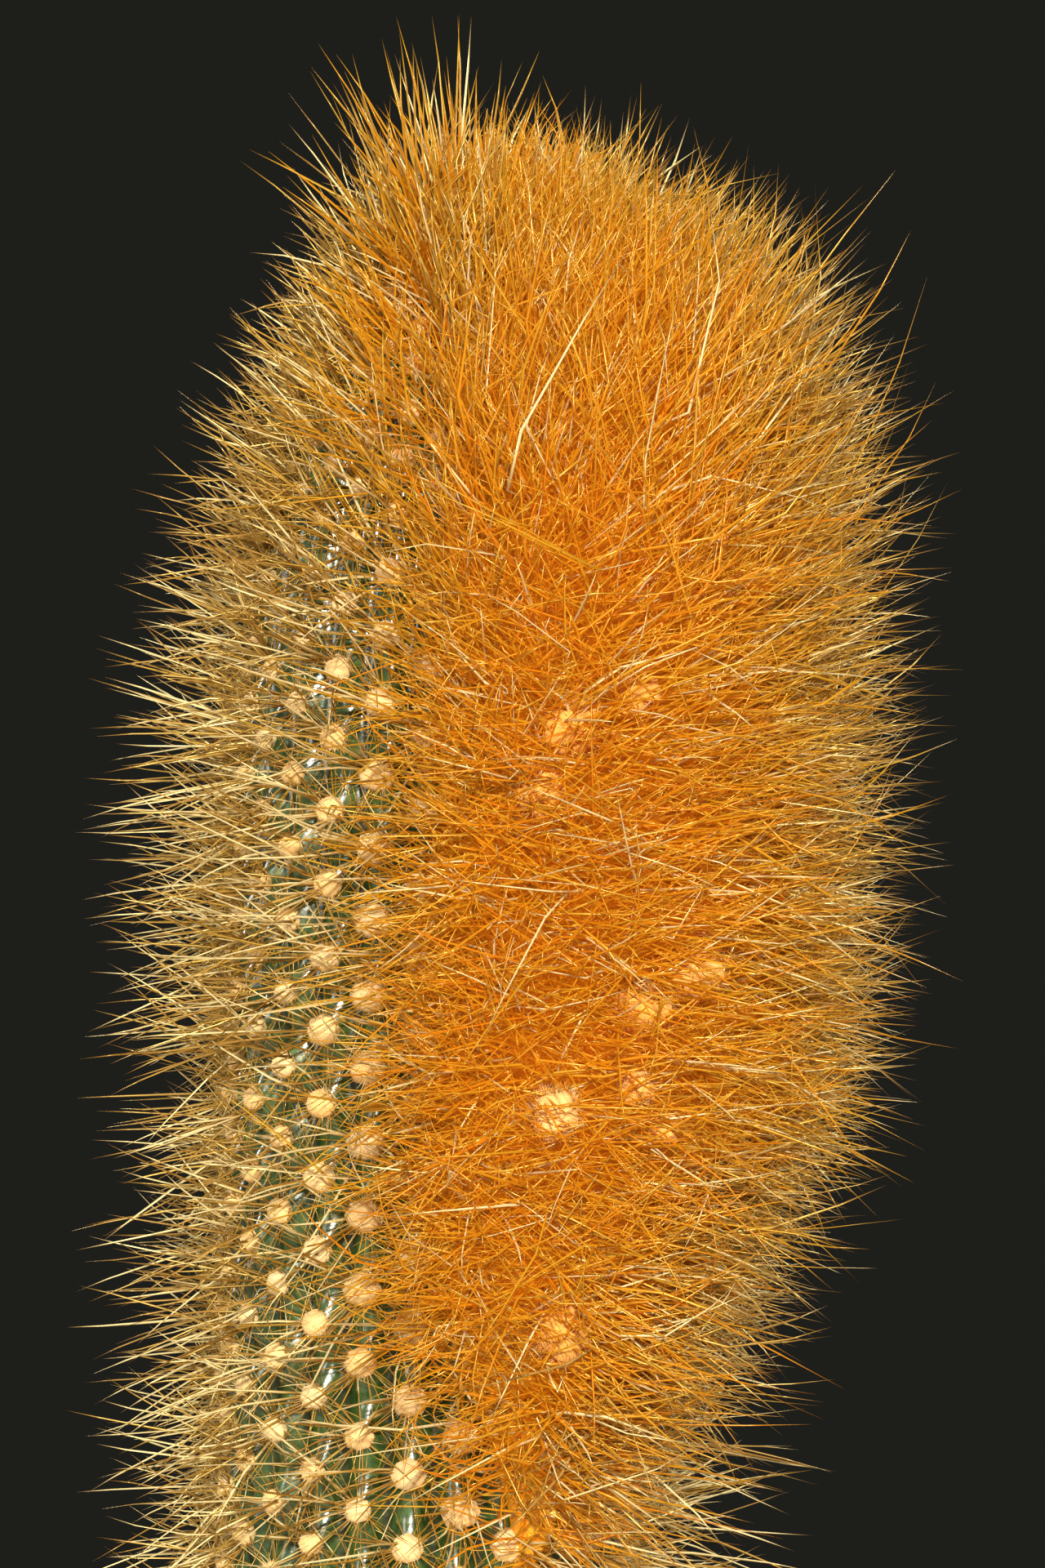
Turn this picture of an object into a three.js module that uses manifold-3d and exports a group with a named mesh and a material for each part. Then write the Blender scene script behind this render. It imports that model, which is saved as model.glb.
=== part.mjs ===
// A potted Coleocephalocereus buxbaumianus: one ribbed, spiny column with a bristly cephalium
// along one side, standing in the soil of a plain clay pot.
// Millimetres, +Z up, origin at the middle of the pot's underside. The front faces -Y.

import * as THREE from "three";
import { mergeVertices } from "three/addons/utils/BufferGeometryUtils.js";
import Module from "manifold-3d";

// Driving dimensions: the pot and its soil
const potHeight = 140;
const rimRadius = 85;
const rimHeight = 28;
const rimStep = 4;
const baseRadius = 58;
const wall = 6;
const floorThickness = 8;
const drainRadius = 8;
const edgeRound = 2;
const soilTop = 122;
const soilMound = 1;
const roundSegments = 36;

// Driving dimensions: the stem
const ribCount = 26;
const firstRibAngle = -4;
const stemRadius = 28;
const ribDepth = 3.2;
const rootEnd = 88;
const footTop = 165;
const footNarrowing = 0.14;
const shoulderHeight = 350;
const apexHeight = 430;
const crownPower = 2.2;
const lean = 7;
const ringStep = 16;
const crownRings = 10;
const crownRingTurn = 8;

// Driving dimensions: areoles and spines
const areolePitch = 9.87;
const crownPitchShare = 0.5;
const lowestAreole = 136.7;
const highestAreole = 428.5;
const crowdedShare = 0.97;
const spineLength = 23;
const crownLengthening = 0.25;
const spineRadius = 0.45;
const spineSink = 1.6;
const spineSpread = 24;
const flankTurn = 1.9;
const secondSpineEvery = 6;
const soilClearance = 3;
const crownLift = 18;
const fullLiftHeight = 390;
const levelHeight = 325;
const droopHeight = 250;
const footDroop = -9;

// Driving dimensions: the cephalium, its edges as angles from the front towards +X
const cephaliumFoot = 247;
const cephaliumTop = 424;
const cephaliumLeft = -1;
const cephaliumRight = 96;
const cephaliumTip = 28;
const tipHalfWidth = 3;
const leftTaper = 48;
const rightTaper = 75;
const edgeMargin = 3.4;
const woolThickness = 12;
const woolEdge = 0.8;
const footRounding = 5;
const topRounding = 6;
const coreRows = 26;
const coreColumns = 10;
const bristleCount = 400;
const bristleLength = 36;
const bristleRadius = 0.42;
const bristleSplay = 26;

// Clearance between pieces that touch
const gap = 0.3;

// Heights where the buried foot of the stem, and its hole in the soil, change their width
const footHeights = [rootEnd, 100, 111, soilTop];

const wasm = await Module();
wasm.setup();

// A repeatable stream of numbers between 0 and 1
function numberStream(seed) {
  let state = seed;
  return () => {
    state = (state * 1664525 + 1013904223) % 4294967296;
    return state / 4294967296;
  };
}

const degrees = THREE.MathUtils.degToRad;

function toSolid(geometry) {
  const bare = geometry.clone();
  bare.deleteAttribute("normal");
  bare.deleteAttribute("uv");
  const merged = mergeVertices(bare, 1e-4);
  const vertProperties = new Float32Array(merged.attributes.position.array);
  const triVerts = new Uint32Array(merged.index.array);
  return new wasm.Manifold(new wasm.Mesh({ numProp: 3, vertProperties, triVerts }));
}

function toGeometry(solid) {
  const mesh = solid.getMesh();
  const geometry = new THREE.BufferGeometry();
  geometry.setAttribute("position", new THREE.BufferAttribute(mesh.vertProperties, 3));
  geometry.setIndex(new THREE.BufferAttribute(mesh.triVerts, 1));
  geometry.computeVertexNormals();
  return geometry;
}

function geometryFrom(points, triangles) {
  const geometry = new THREE.BufferGeometry();
  const coordinates = points.flatMap((p) => [p.x, p.y, p.z]);
  geometry.setAttribute("position", new THREE.Float32BufferAttribute(coordinates, 3));
  geometry.setIndex(triangles.flat());
  return geometry;
}

// Turned shapes: the profile is a list of [radius, height]
function turned(profile) {
  const points = profile.map(([radius, height]) => new THREE.Vector2(radius, height));
  const geometry = new THREE.LatheGeometry(points, roundSegments);
  return geometry.rotateX(Math.PI / 2);
}

// The stem's outline: how much of the crown lies below a height, and the crest radius there
function crownShare(height) {
  const share = (height - shoulderHeight) / (apexHeight - shoulderHeight);
  return THREE.MathUtils.clamp(share, 0, 1);
}

function crestRadius(height) {
  const foot = Math.max(footTop - height, 0) / (footTop - soilTop);
  const crown = Math.sqrt(1 - crownShare(height) ** crownPower);
  return stemRadius * crown * (1 - footNarrowing * foot * foot);
}

// The column leans a little towards +X as it rises
function axisOffset(height) {
  const risen = Math.max(height - soilTop, 0) / (apexHeight - soilTop);
  return lean * risen * risen;
}

// The angle of the surface's normal above the horizontal: 0 on the column, near 90 at the apex
function normalRise(height) {
  const share = crownShare(height);
  const crown = Math.sqrt(1 - share ** crownPower);
  const slope = (crownPower * share ** (crownPower - 1)) / (2 * crown);
  return Math.atan((slope * stemRadius) / (apexHeight - shoulderHeight));
}

// Spines stand up at the crown, level along the middle and a little down towards the foot
function spineRise(height) {
  const up = THREE.MathUtils.smoothstep(height, levelHeight, fullLiftHeight) * crownLift;
  const down = (1 - THREE.MathUtils.smoothstep(height, droopHeight, levelHeight)) * footDroop;
  const rise = normalRise(height);
  return rise + degrees(up + down) * (1 - rise / degrees(90));
}

// A point at an angle from the front (-Y) towards +X, at a radius from the leaning axis
function around(angle, radius, height) {
  const x = axisOffset(height) + radius * Math.sin(angle);
  return new THREE.Vector3(x, -radius * Math.cos(angle), height);
}

function heading(angle, rise) {
  const level = Math.cos(rise);
  return new THREE.Vector3(level * Math.sin(angle), -level * Math.cos(angle), Math.sin(rise));
}

// One spine or bristle: a three-sided needle with its root sunk below the point
function needle(root, direction, length, radius) {
  const geometry = new THREE.ConeGeometry(radius, length + spineSink, 3, 1);
  geometry.translate(0, (length - spineSink) / 2, 0);
  const up = new THREE.Vector3(0, 1, 0);
  geometry.applyQuaternion(new THREE.Quaternion().setFromUnitVectors(up, direction));
  geometry.translate(root.x, root.y, root.z);
  return toSolid(geometry);
}

// The ribs are shallower where the column narrows
function ribDepthAt(height) {
  return (ribDepth * crestRadius(height)) / stemRadius;
}

// The ribbed column: one crest and one groove for each rib, closed at the root and the apex
function stemBody() {
  const heights = [...footHeights];
  for (let height = soilTop + ringStep; height < shoulderHeight; height += ringStep) {
    heights.push(height);
  }
  for (let ring = 1; ring <= crownRings; ring += 1) {
    const share = Math.sin(degrees(crownRingTurn * ring));
    heights.push(shoulderHeight + (apexHeight - shoulderHeight) * share);
  }
  const columns = ribCount * 2;
  const points = [];
  for (const height of heights) {
    const crest = crestRadius(height);
    const groove = crest - ribDepthAt(height);
    for (let column = 0; column < columns; column += 1) {
      const angle = degrees(firstRibAngle + (360 * column) / columns);
      points.push(around(angle, column % 2 === 0 ? crest : groove, height));
    }
  }
  const rootPole = points.length;
  const apexPole = rootPole + 1;
  points.push(around(0, 0, rootEnd), around(0, 0, apexHeight));
  const triangles = [];
  const lastRow = (heights.length - 1) * columns;
  for (let column = 0; column < columns; column += 1) {
    const next = (column + 1) % columns;
    triangles.push([rootPole, next, column]);
    triangles.push([apexPole, lastRow + column, lastRow + next]);
    for (let row = 0; row < lastRow; row += columns) {
      const upper = row + columns;
      triangles.push([row + column, row + next, upper + next]);
      triangles.push([row + column, upper + next, upper + column]);
    }
  }
  return toSolid(geometryFrom(points, triangles));
}

// Where the areoles of one rib sit: a pitch apart, closer together over the crown
function areoleHeights(rib) {
  const heights = [];
  let height = lowestAreole + (rib % 2 === 0 ? areolePitch / 2 : 0);
  while (height < highestAreole) {
    heights.push(height);
    const pitch = areolePitch * (1 - (1 - crownPitchShare) * crownShare(height));
    height += pitch * Math.cos(normalRise(height));
  }
  return heights;
}

// The cephalium's edges at a height: it narrows to a tip at its lower end
function cephaliumEdges(height) {
  const onLeft = THREE.MathUtils.smoothstep(height, cephaliumFoot, cephaliumFoot + leftTaper);
  const onRight = THREE.MathUtils.smoothstep(height, cephaliumFoot, cephaliumFoot + rightTaper);
  const left = THREE.MathUtils.lerp(cephaliumTip - tipHalfWidth, cephaliumLeft, onLeft);
  const right = THREE.MathUtils.lerp(cephaliumTip + tipHalfWidth, cephaliumRight, onRight);
  return [degrees(left), degrees(right)];
}

function underCephalium(angle, height) {
  const [left, right] = cephaliumEdges(height);
  const margin = degrees(edgeMargin);
  const beside = angle < left - margin || angle > right + margin;
  return !beside && height > cephaliumFoot - edgeMargin && height < cephaliumTop + edgeMargin;
}

// A point of the cephalium: across from 0 to 1, and out from the ribs by a distance
function cephaliumPoint(across, height, out) {
  const [left, right] = cephaliumEdges(height);
  const angle = THREE.MathUtils.lerp(left, right, across);
  const rise = normalRise(height);
  const point = around(angle, crestRadius(height), height);
  return point.addScaledVector(heading(angle, rise), out);
}

function woolHeight(across, height) {
  const length = cephaliumTop - cephaliumFoot;
  const along = THREE.MathUtils.clamp((height - cephaliumFoot) / length, 0, 1);
  const ends = Math.min(1, Math.sqrt(along * footRounding), Math.sqrt((1 - along) * topRounding));
  return woolEdge + woolThickness * ends * Math.sqrt(Math.sin(Math.PI * across));
}

// The core of matted wool: a thick sheet that hugs the ribs
function cephaliumCore() {
  const rows = coreRows;
  const columns = coreColumns;
  const points = [];
  for (let row = 0; row <= rows; row += 1) {
    const height = THREE.MathUtils.lerp(cephaliumFoot, cephaliumTop, row / rows);
    for (let column = 0; column <= columns; column += 1) {
      const across = column / columns;
      points.push(cephaliumPoint(across, height, gap));
      points.push(cephaliumPoint(across, height, gap + woolHeight(across, height)));
    }
  }
  const inner = (row, column) => 2 * (row * (columns + 1) + column);
  const outer = (row, column) => inner(row, column) + 1;
  const triangles = [];
  const face = (a, b, c, d) => triangles.push([a, b, c], [a, c, d]);
  for (let row = 0; row < rows; row += 1) {
    for (let column = 0; column < columns; column += 1) {
      const [up, right] = [row + 1, column + 1];
      face(outer(row, column), outer(row, right), outer(up, right), outer(up, column));
      face(inner(row, column), inner(up, column), inner(up, right), inner(row, right));
    }
    face(inner(row, 0), outer(row, 0), outer(row + 1, 0), inner(row + 1, 0));
    face(outer(row, columns), inner(row, columns), inner(row + 1, columns), outer(row + 1, columns));
  }
  for (let column = 0; column < columns; column += 1) {
    const right = column + 1;
    face(inner(0, column), inner(0, right), outer(0, right), outer(0, column));
    face(outer(rows, column), outer(rows, right), inner(rows, right), inner(rows, column));
  }
  return toSolid(geometryFrom(points, triangles));
}

// Bristles stand out of the wool all over, splayed towards the edges of the band
function cephaliumBristles() {
  const random = numberStream(20260);
  const bristles = [];
  while (bristles.length < bristleCount) {
    const across = 0.04 + 0.92 * random();
    const height = THREE.MathUtils.lerp(cephaliumFoot + 3, cephaliumTop - 2, random());
    const [left, right] = cephaliumEdges(height);
    const widthShare = ((right - left) * crestRadius(height)) / (degrees(cephaliumRight) * stemRadius);
    if (random() > widthShare) continue;
    const root = cephaliumPoint(across, height, gap + woolHeight(across, height));
    const splay = degrees((across - 0.5) * bristleSplay + (random() - 0.5) * spineSpread);
    const angle = THREE.MathUtils.lerp(left, right, across) + splay;
    const rise = spineRise(height) + degrees((random() - 0.5) * spineSpread);
    const length = bristleLength * (0.75 + 0.25 * across) * (0.8 + 0.3 * random());
    bristles.push(needle(root, heading(angle, rise), length, bristleRadius));
  }
  return bristles;
}

// A root beside the crest of a rib, on its left or right flank
function flankPoint(ribAngle, height, onRight) {
  const halfRib = 180 / ribCount;
  const radius = crestRadius(height) - (ribDepthAt(height) * flankTurn) / halfRib;
  return around(ribAngle + degrees(onRight ? flankTurn : -flankTurn), radius, height);
}

// Spines of every areole that the cephalium leaves free, bent clear of it and of the soil
function stemSpines(cephalium) {
  const random = numberStream(1912);
  const spines = [];
  for (let rib = 0; rib < ribCount; rib += 1) {
    const turn = rib > ribCount / 2 ? rib - ribCount : rib;
    const ribAngle = degrees(firstRibAngle + (360 / ribCount) * turn);
    areoleHeights(rib).forEach((height, row) => {
      const crowded = crownShare(height) > crowdedShare && (rib + row) % 2 === 0;
      if (crowded || underCephalium(ribAngle, height)) return;
      const count = (rib + 3 * row) % secondSpineEvery === 0 ? 2 : 1;
      for (let index = 0; index < count; index += 1) {
        const root = flankPoint(ribAngle, height, (rib + row + index) % 2 === 0);
        const side = (random() - 0.5) * 2 * spineSpread;
        const lift = (random() - 0.5) * 2 * spineSpread;
        const grown = spineLength * (1 + crownLengthening * crownShare(height));
        const length = grown * (0.8 + 0.3 * random());
        for (const kept of [1, 0.5, 0]) {
          const angle = ribAngle + degrees(side * kept);
          const rise = spineRise(height) + degrees(lift * kept);
          const spine = needle(root, heading(angle, rise), length, spineRadius);
          const aboveSoil = height + length * Math.sin(rise) > soilTop + soilClearance;
          if (aboveSoil && spine.intersect(cephalium).isEmpty()) {
            spines.push(spine);
            break;
          }
        }
      }
    });
  }
  return spines;
}

function potGeometry() {
  const bodyTop = potHeight - rimHeight;
  const rimInner = rimRadius - wall - 1;
  return turned([
    [drainRadius, 0],
    [baseRadius - edgeRound, 0],
    [baseRadius, edgeRound],
    [rimRadius - rimStep, bodyTop],
    [rimRadius, bodyTop + edgeRound],
    [rimRadius, potHeight - edgeRound],
    [rimRadius - edgeRound, potHeight],
    [rimInner + edgeRound, potHeight],
    [rimInner, potHeight - edgeRound],
    [innerRadius(soilTop - 10), soilTop - 10],
    [innerRadius(floorThickness), floorThickness],
    [drainRadius, floorThickness],
    [drainRadius, 0],
  ]);
}

// The pot's inner wall runs straight from the floor up to the rim
function innerRadius(height) {
  const share = (height - floorThickness) / (potHeight - edgeRound - floorThickness);
  return THREE.MathUtils.lerp(baseRadius - wall, rimRadius - wall - 1, share);
}

// The soil fills the pot and has a plain hole for the foot of the stem
function soilGeometry() {
  const bottom = floorThickness + gap;
  const profile = [
    [0, bottom],
    [innerRadius(bottom) - gap, bottom],
    [innerRadius(soilTop - 1.5) - gap, soilTop - 1.5],
    [innerRadius(soilTop) - 8, soilTop],
    [crestRadius(soilTop) + 14, soilTop + soilMound],
  ];
  for (const height of [...footHeights].reverse()) {
    profile.push([crestRadius(height) + gap, height - (height === rootEnd ? gap : 0)]);
  }
  profile.push([0, rootEnd - gap]);
  return turned(profile);
}

function finish(color, roughness) {
  return new THREE.MeshStandardMaterial({ color, roughness, metalness: 0 });
}

function piece(name, geometry, material) {
  const mesh = new THREE.Mesh(geometry, material);
  mesh.name = name;
  return mesh;
}

const cephalium = wasm.Manifold.union([cephaliumCore(), ...cephaliumBristles()]);
const stem = wasm.Manifold.union([stemBody(), ...stemSpines(cephalium)]);

const group = new THREE.Group();
group.add(piece("pot", potGeometry(), finish(0xb5653f, 0.85)));
group.add(piece("soil", soilGeometry(), finish(0x4a3a2c, 0.95)));
group.add(piece("stem", toGeometry(stem), finish(0x5f7f3a, 0.55)));
group.add(piece("cephalium", toGeometry(cephalium), finish(0xd98a2b, 0.7)));

export default group;
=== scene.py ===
# %% [markdown]
# # A potted Coleocephalocereus buxbaumianus
#
# This cactus is one ribbed green column that hides under thousands of thin straw spines. Along one
# side, from the crown down, an old plant grows a cephalium: a dense band of orange bristles over
# cream wool, where its flowers come out. The plant stands in gritty soil in a plain clay pot.
#
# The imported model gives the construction: pot, soil, stem and cephalium at their real sizes. This
# script keeps their form and gives each one its fine surface. Blender works in metres here, with the
# pot's underside on the floor at z = 0, and the front of the plant facing -Y.

# %% Load the frame
import bpy
import math
import numpy as np
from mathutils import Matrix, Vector, noise


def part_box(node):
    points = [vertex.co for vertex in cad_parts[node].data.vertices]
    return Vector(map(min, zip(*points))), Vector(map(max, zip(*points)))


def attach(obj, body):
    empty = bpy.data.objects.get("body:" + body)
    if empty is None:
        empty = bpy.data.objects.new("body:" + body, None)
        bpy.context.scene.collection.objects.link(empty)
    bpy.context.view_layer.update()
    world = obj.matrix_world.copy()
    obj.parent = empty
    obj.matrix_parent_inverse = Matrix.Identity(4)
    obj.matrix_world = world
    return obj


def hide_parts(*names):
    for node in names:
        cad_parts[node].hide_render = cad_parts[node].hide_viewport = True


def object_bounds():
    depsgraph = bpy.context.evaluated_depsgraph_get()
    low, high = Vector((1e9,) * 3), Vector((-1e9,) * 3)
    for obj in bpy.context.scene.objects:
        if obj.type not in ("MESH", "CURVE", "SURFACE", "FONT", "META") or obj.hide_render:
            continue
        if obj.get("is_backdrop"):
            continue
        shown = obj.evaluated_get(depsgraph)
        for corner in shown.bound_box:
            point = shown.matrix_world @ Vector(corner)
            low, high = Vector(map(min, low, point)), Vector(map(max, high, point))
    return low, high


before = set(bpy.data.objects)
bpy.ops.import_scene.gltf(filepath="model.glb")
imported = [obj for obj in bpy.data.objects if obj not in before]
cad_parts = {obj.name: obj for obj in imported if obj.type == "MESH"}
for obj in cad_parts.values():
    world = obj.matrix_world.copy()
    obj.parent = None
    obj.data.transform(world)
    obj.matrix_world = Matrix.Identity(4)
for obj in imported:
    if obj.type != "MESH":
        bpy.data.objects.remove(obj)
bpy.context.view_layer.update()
MM = 0.001

# %% [markdown]
# ## The outline of the stem
#
# Ribs, areoles, wool, spines and bristles all hang on one outline, so it is written once, as a few
# small functions of the height. NumPy lets each function take one height or thousands of them.
# The column is straight, narrows at its foot, closes in a long dome and leans a little to +X.

# %% The outline
RIBS = 26
FIRST_RIB = math.radians(-4)
RIB_TURN = 2 * math.pi / RIBS
STEM_RADIUS = 28 * MM
RIB_DEPTH = 3.2 * MM
ROOT_END = 88 * MM
SOIL_TOP = 122 * MM
FOOT_TOP = 165 * MM
FOOT_NARROWING = 0.14
SHOULDER = 350 * MM
APEX = 430 * MM
CROWN_POWER = 2.2
LEAN = 7 * MM


def blend_in(value, low, high):
    """0 below low, 1 above high, and a smooth step between them."""
    t = np.clip((value - low) / (high - low), 0, 1)
    return t * t * (3 - 2 * t)


def crown_share(z):
    return np.clip((z - SHOULDER) / (APEX - SHOULDER), 0, 1)


def crest_radius(z):
    foot = np.maximum(FOOT_TOP - z, 0) / (FOOT_TOP - SOIL_TOP)
    crown = np.sqrt(1 - crown_share(z) ** CROWN_POWER)
    return STEM_RADIUS * crown * (1 - FOOT_NARROWING * foot**2)


def axis_offset(z):
    risen = np.maximum(z - SOIL_TOP, 0) / (APEX - SOIL_TOP)
    return LEAN * risen**2


def normal_rise(z):
    """The angle of the skin's normal above the horizontal: 0 on the column, near 90 at the apex."""
    share = np.minimum(crown_share(z), 0.9999)
    crown = np.sqrt(1 - share**CROWN_POWER)
    slope = CROWN_POWER * share ** (CROWN_POWER - 1) / (2 * crown)
    return np.arctan(slope * STEM_RADIUS / (APEX - SHOULDER))


def around(angle, radius, z):
    """Points at an angle from the front towards +X, a radius away from the leaning axis."""
    x = axis_offset(z) + radius * np.sin(angle)
    return np.stack(np.broadcast_arrays(x, -radius * np.cos(angle), z), axis=-1)


def heading(angle, rise):
    level = np.cos(rise)
    return np.stack(np.broadcast_arrays(level * np.sin(angle), -level * np.cos(angle), np.sin(rise)), -1)


print("crest radius at 250, 350 and 410 mm:", crest_radius(np.array([0.25, 0.35, 0.41])) / MM)

# %% [markdown]
# ## Small helpers
#
# Operators act on whatever is selected, and loading the frame leaves its nodes selected. So each
# piece starts by clearing the selection. A finished piece rides on the one body of this object,
# names the material slot it belongs to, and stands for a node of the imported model.

# %% Helpers for pieces
ROOT_BODY = "root"


def start_fresh():
    if bpy.context.object and bpy.context.object.mode == "EDIT":
        bpy.ops.object.mode_set(mode="OBJECT")
    bpy.ops.object.select_all(action="DESELECT")


def alone(obj):
    """Makes obj the only selected object and the active one."""
    start_fresh()
    obj.select_set(True)
    bpy.context.view_layer.objects.active = obj


def edit(obj):
    alone(obj)
    bpy.ops.object.mode_set(mode="EDIT")
    bpy.ops.mesh.select_all(action="SELECT")


def finish_piece(obj, name, material, replaces):
    """Names a piece, gives it its material and smooth faces, and ties it to the frame."""
    alone(obj)
    bpy.ops.object.transform_apply(location=True, rotation=True, scale=True)
    obj.name = name
    obj.data.name = name
    obj.data.materials.clear()
    obj.data.materials.append(material)
    bpy.ops.object.shade_smooth()
    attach(obj, ROOT_BODY)
    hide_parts(replaces)
    obj.data.calc_loop_triangles()
    print(f"{name}: {len(obj.data.loop_triangles)} triangles")


# %% [markdown]
# ## Small helpers for materials
#
# A material here is a handful of nodes in a row. `Nodes` keeps a node tree and adds one node per
# call, with its settings, so that each material below reads from top to bottom like a recipe.

# %% Helpers for materials
class Nodes:
    def __init__(self, tree):
        self.tree = tree
        tree.nodes.clear()

    def add(self, kind, inputs=(), **settings):
        """Adds a node. inputs maps a socket's name or number to a value or to another socket."""
        node = self.tree.nodes.new(kind)
        for name, value in settings.items():
            setattr(node, name, value)
        for key, value in dict(inputs).items():
            if isinstance(value, bpy.types.NodeSocket):
                self.tree.links.new(value, node.inputs[key])
            else:
                node.inputs[key].default_value = value
        return node

    def ramp(self, factor, stops):
        """A colour ramp through (place, colour) stops."""
        node = self.add("ShaderNodeValToRGB", {0: factor})
        band = node.color_ramp.elements
        while len(band) < len(stops):
            band.new(0.5)
        for element, (place, colour) in zip(band, stops):
            element.position = place
            element.color = (*colour, 1)
        return node.outputs["Color"]

    def mix(self, factor, first, second, blend="MIX"):
        """A mix of two colours. Each input is a colour or a socket."""
        node = self.add("ShaderNodeMix", data_type="RGBA", blend_type=blend)
        for index, value in ((0, factor), (6, first), (7, second)):
            if isinstance(value, bpy.types.NodeSocket):
                self.tree.links.new(value, node.inputs[index])
            elif index == 0:
                node.inputs[index].default_value = value
            else:
                node.inputs[index].default_value = (*value, 1)
        return node.outputs[2]

    def math(self, operation, first, second=0.0, clamp=False):
        inputs = {0: first, 1: second}
        return self.add("ShaderNodeMath", inputs, operation=operation, use_clamp=clamp).outputs[0]


def new_material(name):
    """A material with an empty node tree. What glows in it is seen, but isn't counted as a lamp:
    a lamp for every triangle of a spine would only slow the render down."""
    material = bpy.data.materials.new(name)
    material.use_nodes = True
    material.cycles.emission_sampling = "NONE"
    return material, Nodes(material.node_tree)


def surface(nodes, shader):
    nodes.add("ShaderNodeOutputMaterial", {"Surface": shader})


# %% [markdown]
# ### Two effects that several materials share
#
# *Mottling* is a slow change of tone over a surface, and *grit* is a fine roughness that can feed a
# bump. Each is a node group, built once and placed in a material with its own numbers.

# %% Shared effect groups
def new_group(name, inputs, outputs):
    group = bpy.data.node_groups.new(name, "ShaderNodeTree")
    for socket, kind in inputs:
        group.interface.new_socket(socket, in_out="INPUT", socket_type=kind)
    for socket, kind in outputs:
        group.interface.new_socket(socket, in_out="OUTPUT", socket_type=kind)
    return group


def make_mottling():
    """Two sizes of noise mixed: broad patches, broken up by small ones."""
    group = new_group(
        "Mottling",
        [("Vector", "NodeSocketVector"), ("Scale", "NodeSocketFloat")],
        [("Mask", "NodeSocketFloat")],
    )
    nodes = Nodes(group)
    given = nodes.add("NodeGroupInput")
    vector, scale = given.outputs[0], given.outputs[1]
    broad = nodes.add("ShaderNodeTexNoise", {"Vector": vector, "Scale": scale, "Detail": 4})
    finer_scale = nodes.math("MULTIPLY", scale, 5.3)
    fine = nodes.add("ShaderNodeTexNoise", {"Vector": vector, "Scale": finer_scale, "Detail": 3})
    small_share = nodes.math("MULTIPLY", fine.outputs[0], 0.4)
    both = nodes.math("MULTIPLY_ADD", broad.outputs[0], 0.6)
    group.links.new(small_share, both.node.inputs[2])
    nodes.add("NodeGroupOutput", {0: both})
    return group


def make_grit():
    """Fine grain, from a noise and the pits between the cells of a Voronoi pattern."""
    group = new_group(
        "Grit",
        [("Vector", "NodeSocketVector"), ("Scale", "NodeSocketFloat")],
        [("Height", "NodeSocketFloat")],
    )
    nodes = Nodes(group)
    given = nodes.add("NodeGroupInput")
    vector, scale = given.outputs[0], given.outputs[1]
    grain = nodes.add("ShaderNodeTexNoise", {"Vector": vector, "Scale": scale, "Detail": 6})
    pits = nodes.add("ShaderNodeTexVoronoi", {"Vector": vector, "Scale": scale})
    height = nodes.math("MULTIPLY", grain.outputs[0], pits.outputs[0])
    nodes.add("NodeGroupOutput", {0: height})
    return group


MOTTLING = make_mottling()
GRIT = make_grit()


def mottling(nodes, vector, scale):
    node = nodes.add("ShaderNodeGroup", node_tree=MOTTLING)
    nodes.tree.links.new(vector, node.inputs["Vector"])
    node.inputs["Scale"].default_value = scale
    return node.outputs["Mask"]


def grit(nodes, vector, scale):
    node = nodes.add("ShaderNodeGroup", node_tree=GRIT)
    nodes.tree.links.new(vector, node.inputs["Vector"])
    node.inputs["Scale"].default_value = scale
    return node.outputs["Height"]


# %% [markdown]
# ## The clay pot
#
# A plain pot is pressed in a mould: a tapered body, a collar that stiffens the rim, a flat foot and
# one drainage hole. It could be turned from a profile with Spin. Here it grows the way one would
# make it by hand: from one ring of edges, extruded and resized from the hole out over the foot, up
# the outside, over the rim, down the inside, and bridged back to where it began.

# %% Model the pot
POT_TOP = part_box("pot")[1].z
RIM_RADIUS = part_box("pot")[1].x
POT_BASE = 58 * MM
DRAIN_RADIUS = 8 * MM
POT_FLOOR = 8 * MM
WALL = 6 * MM
COLLAR = 28 * MM
COLLAR_STEP = 4 * MM
POT_SIDES = 128


def inner_wall(z):
    """The radius of the pot's inner wall at a height."""
    share = (z - POT_FLOOR) / (POT_TOP - 2 * MM - POT_FLOOR)
    return (POT_BASE - WALL) * (1 - share) + (RIM_RADIUS - WALL - MM) * share


def next_ring(before, after):
    """Extrudes the selected ring from one (radius, height) to the next."""
    rise = (0, 0, after[1] - before[1])
    bpy.ops.mesh.extrude_region_move(TRANSFORM_OT_translate={"value": rise})
    grow = after[0] / before[0]
    bpy.ops.transform.resize(value=(grow, grow, 1), center_override=(0, 0, after[1]))


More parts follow.
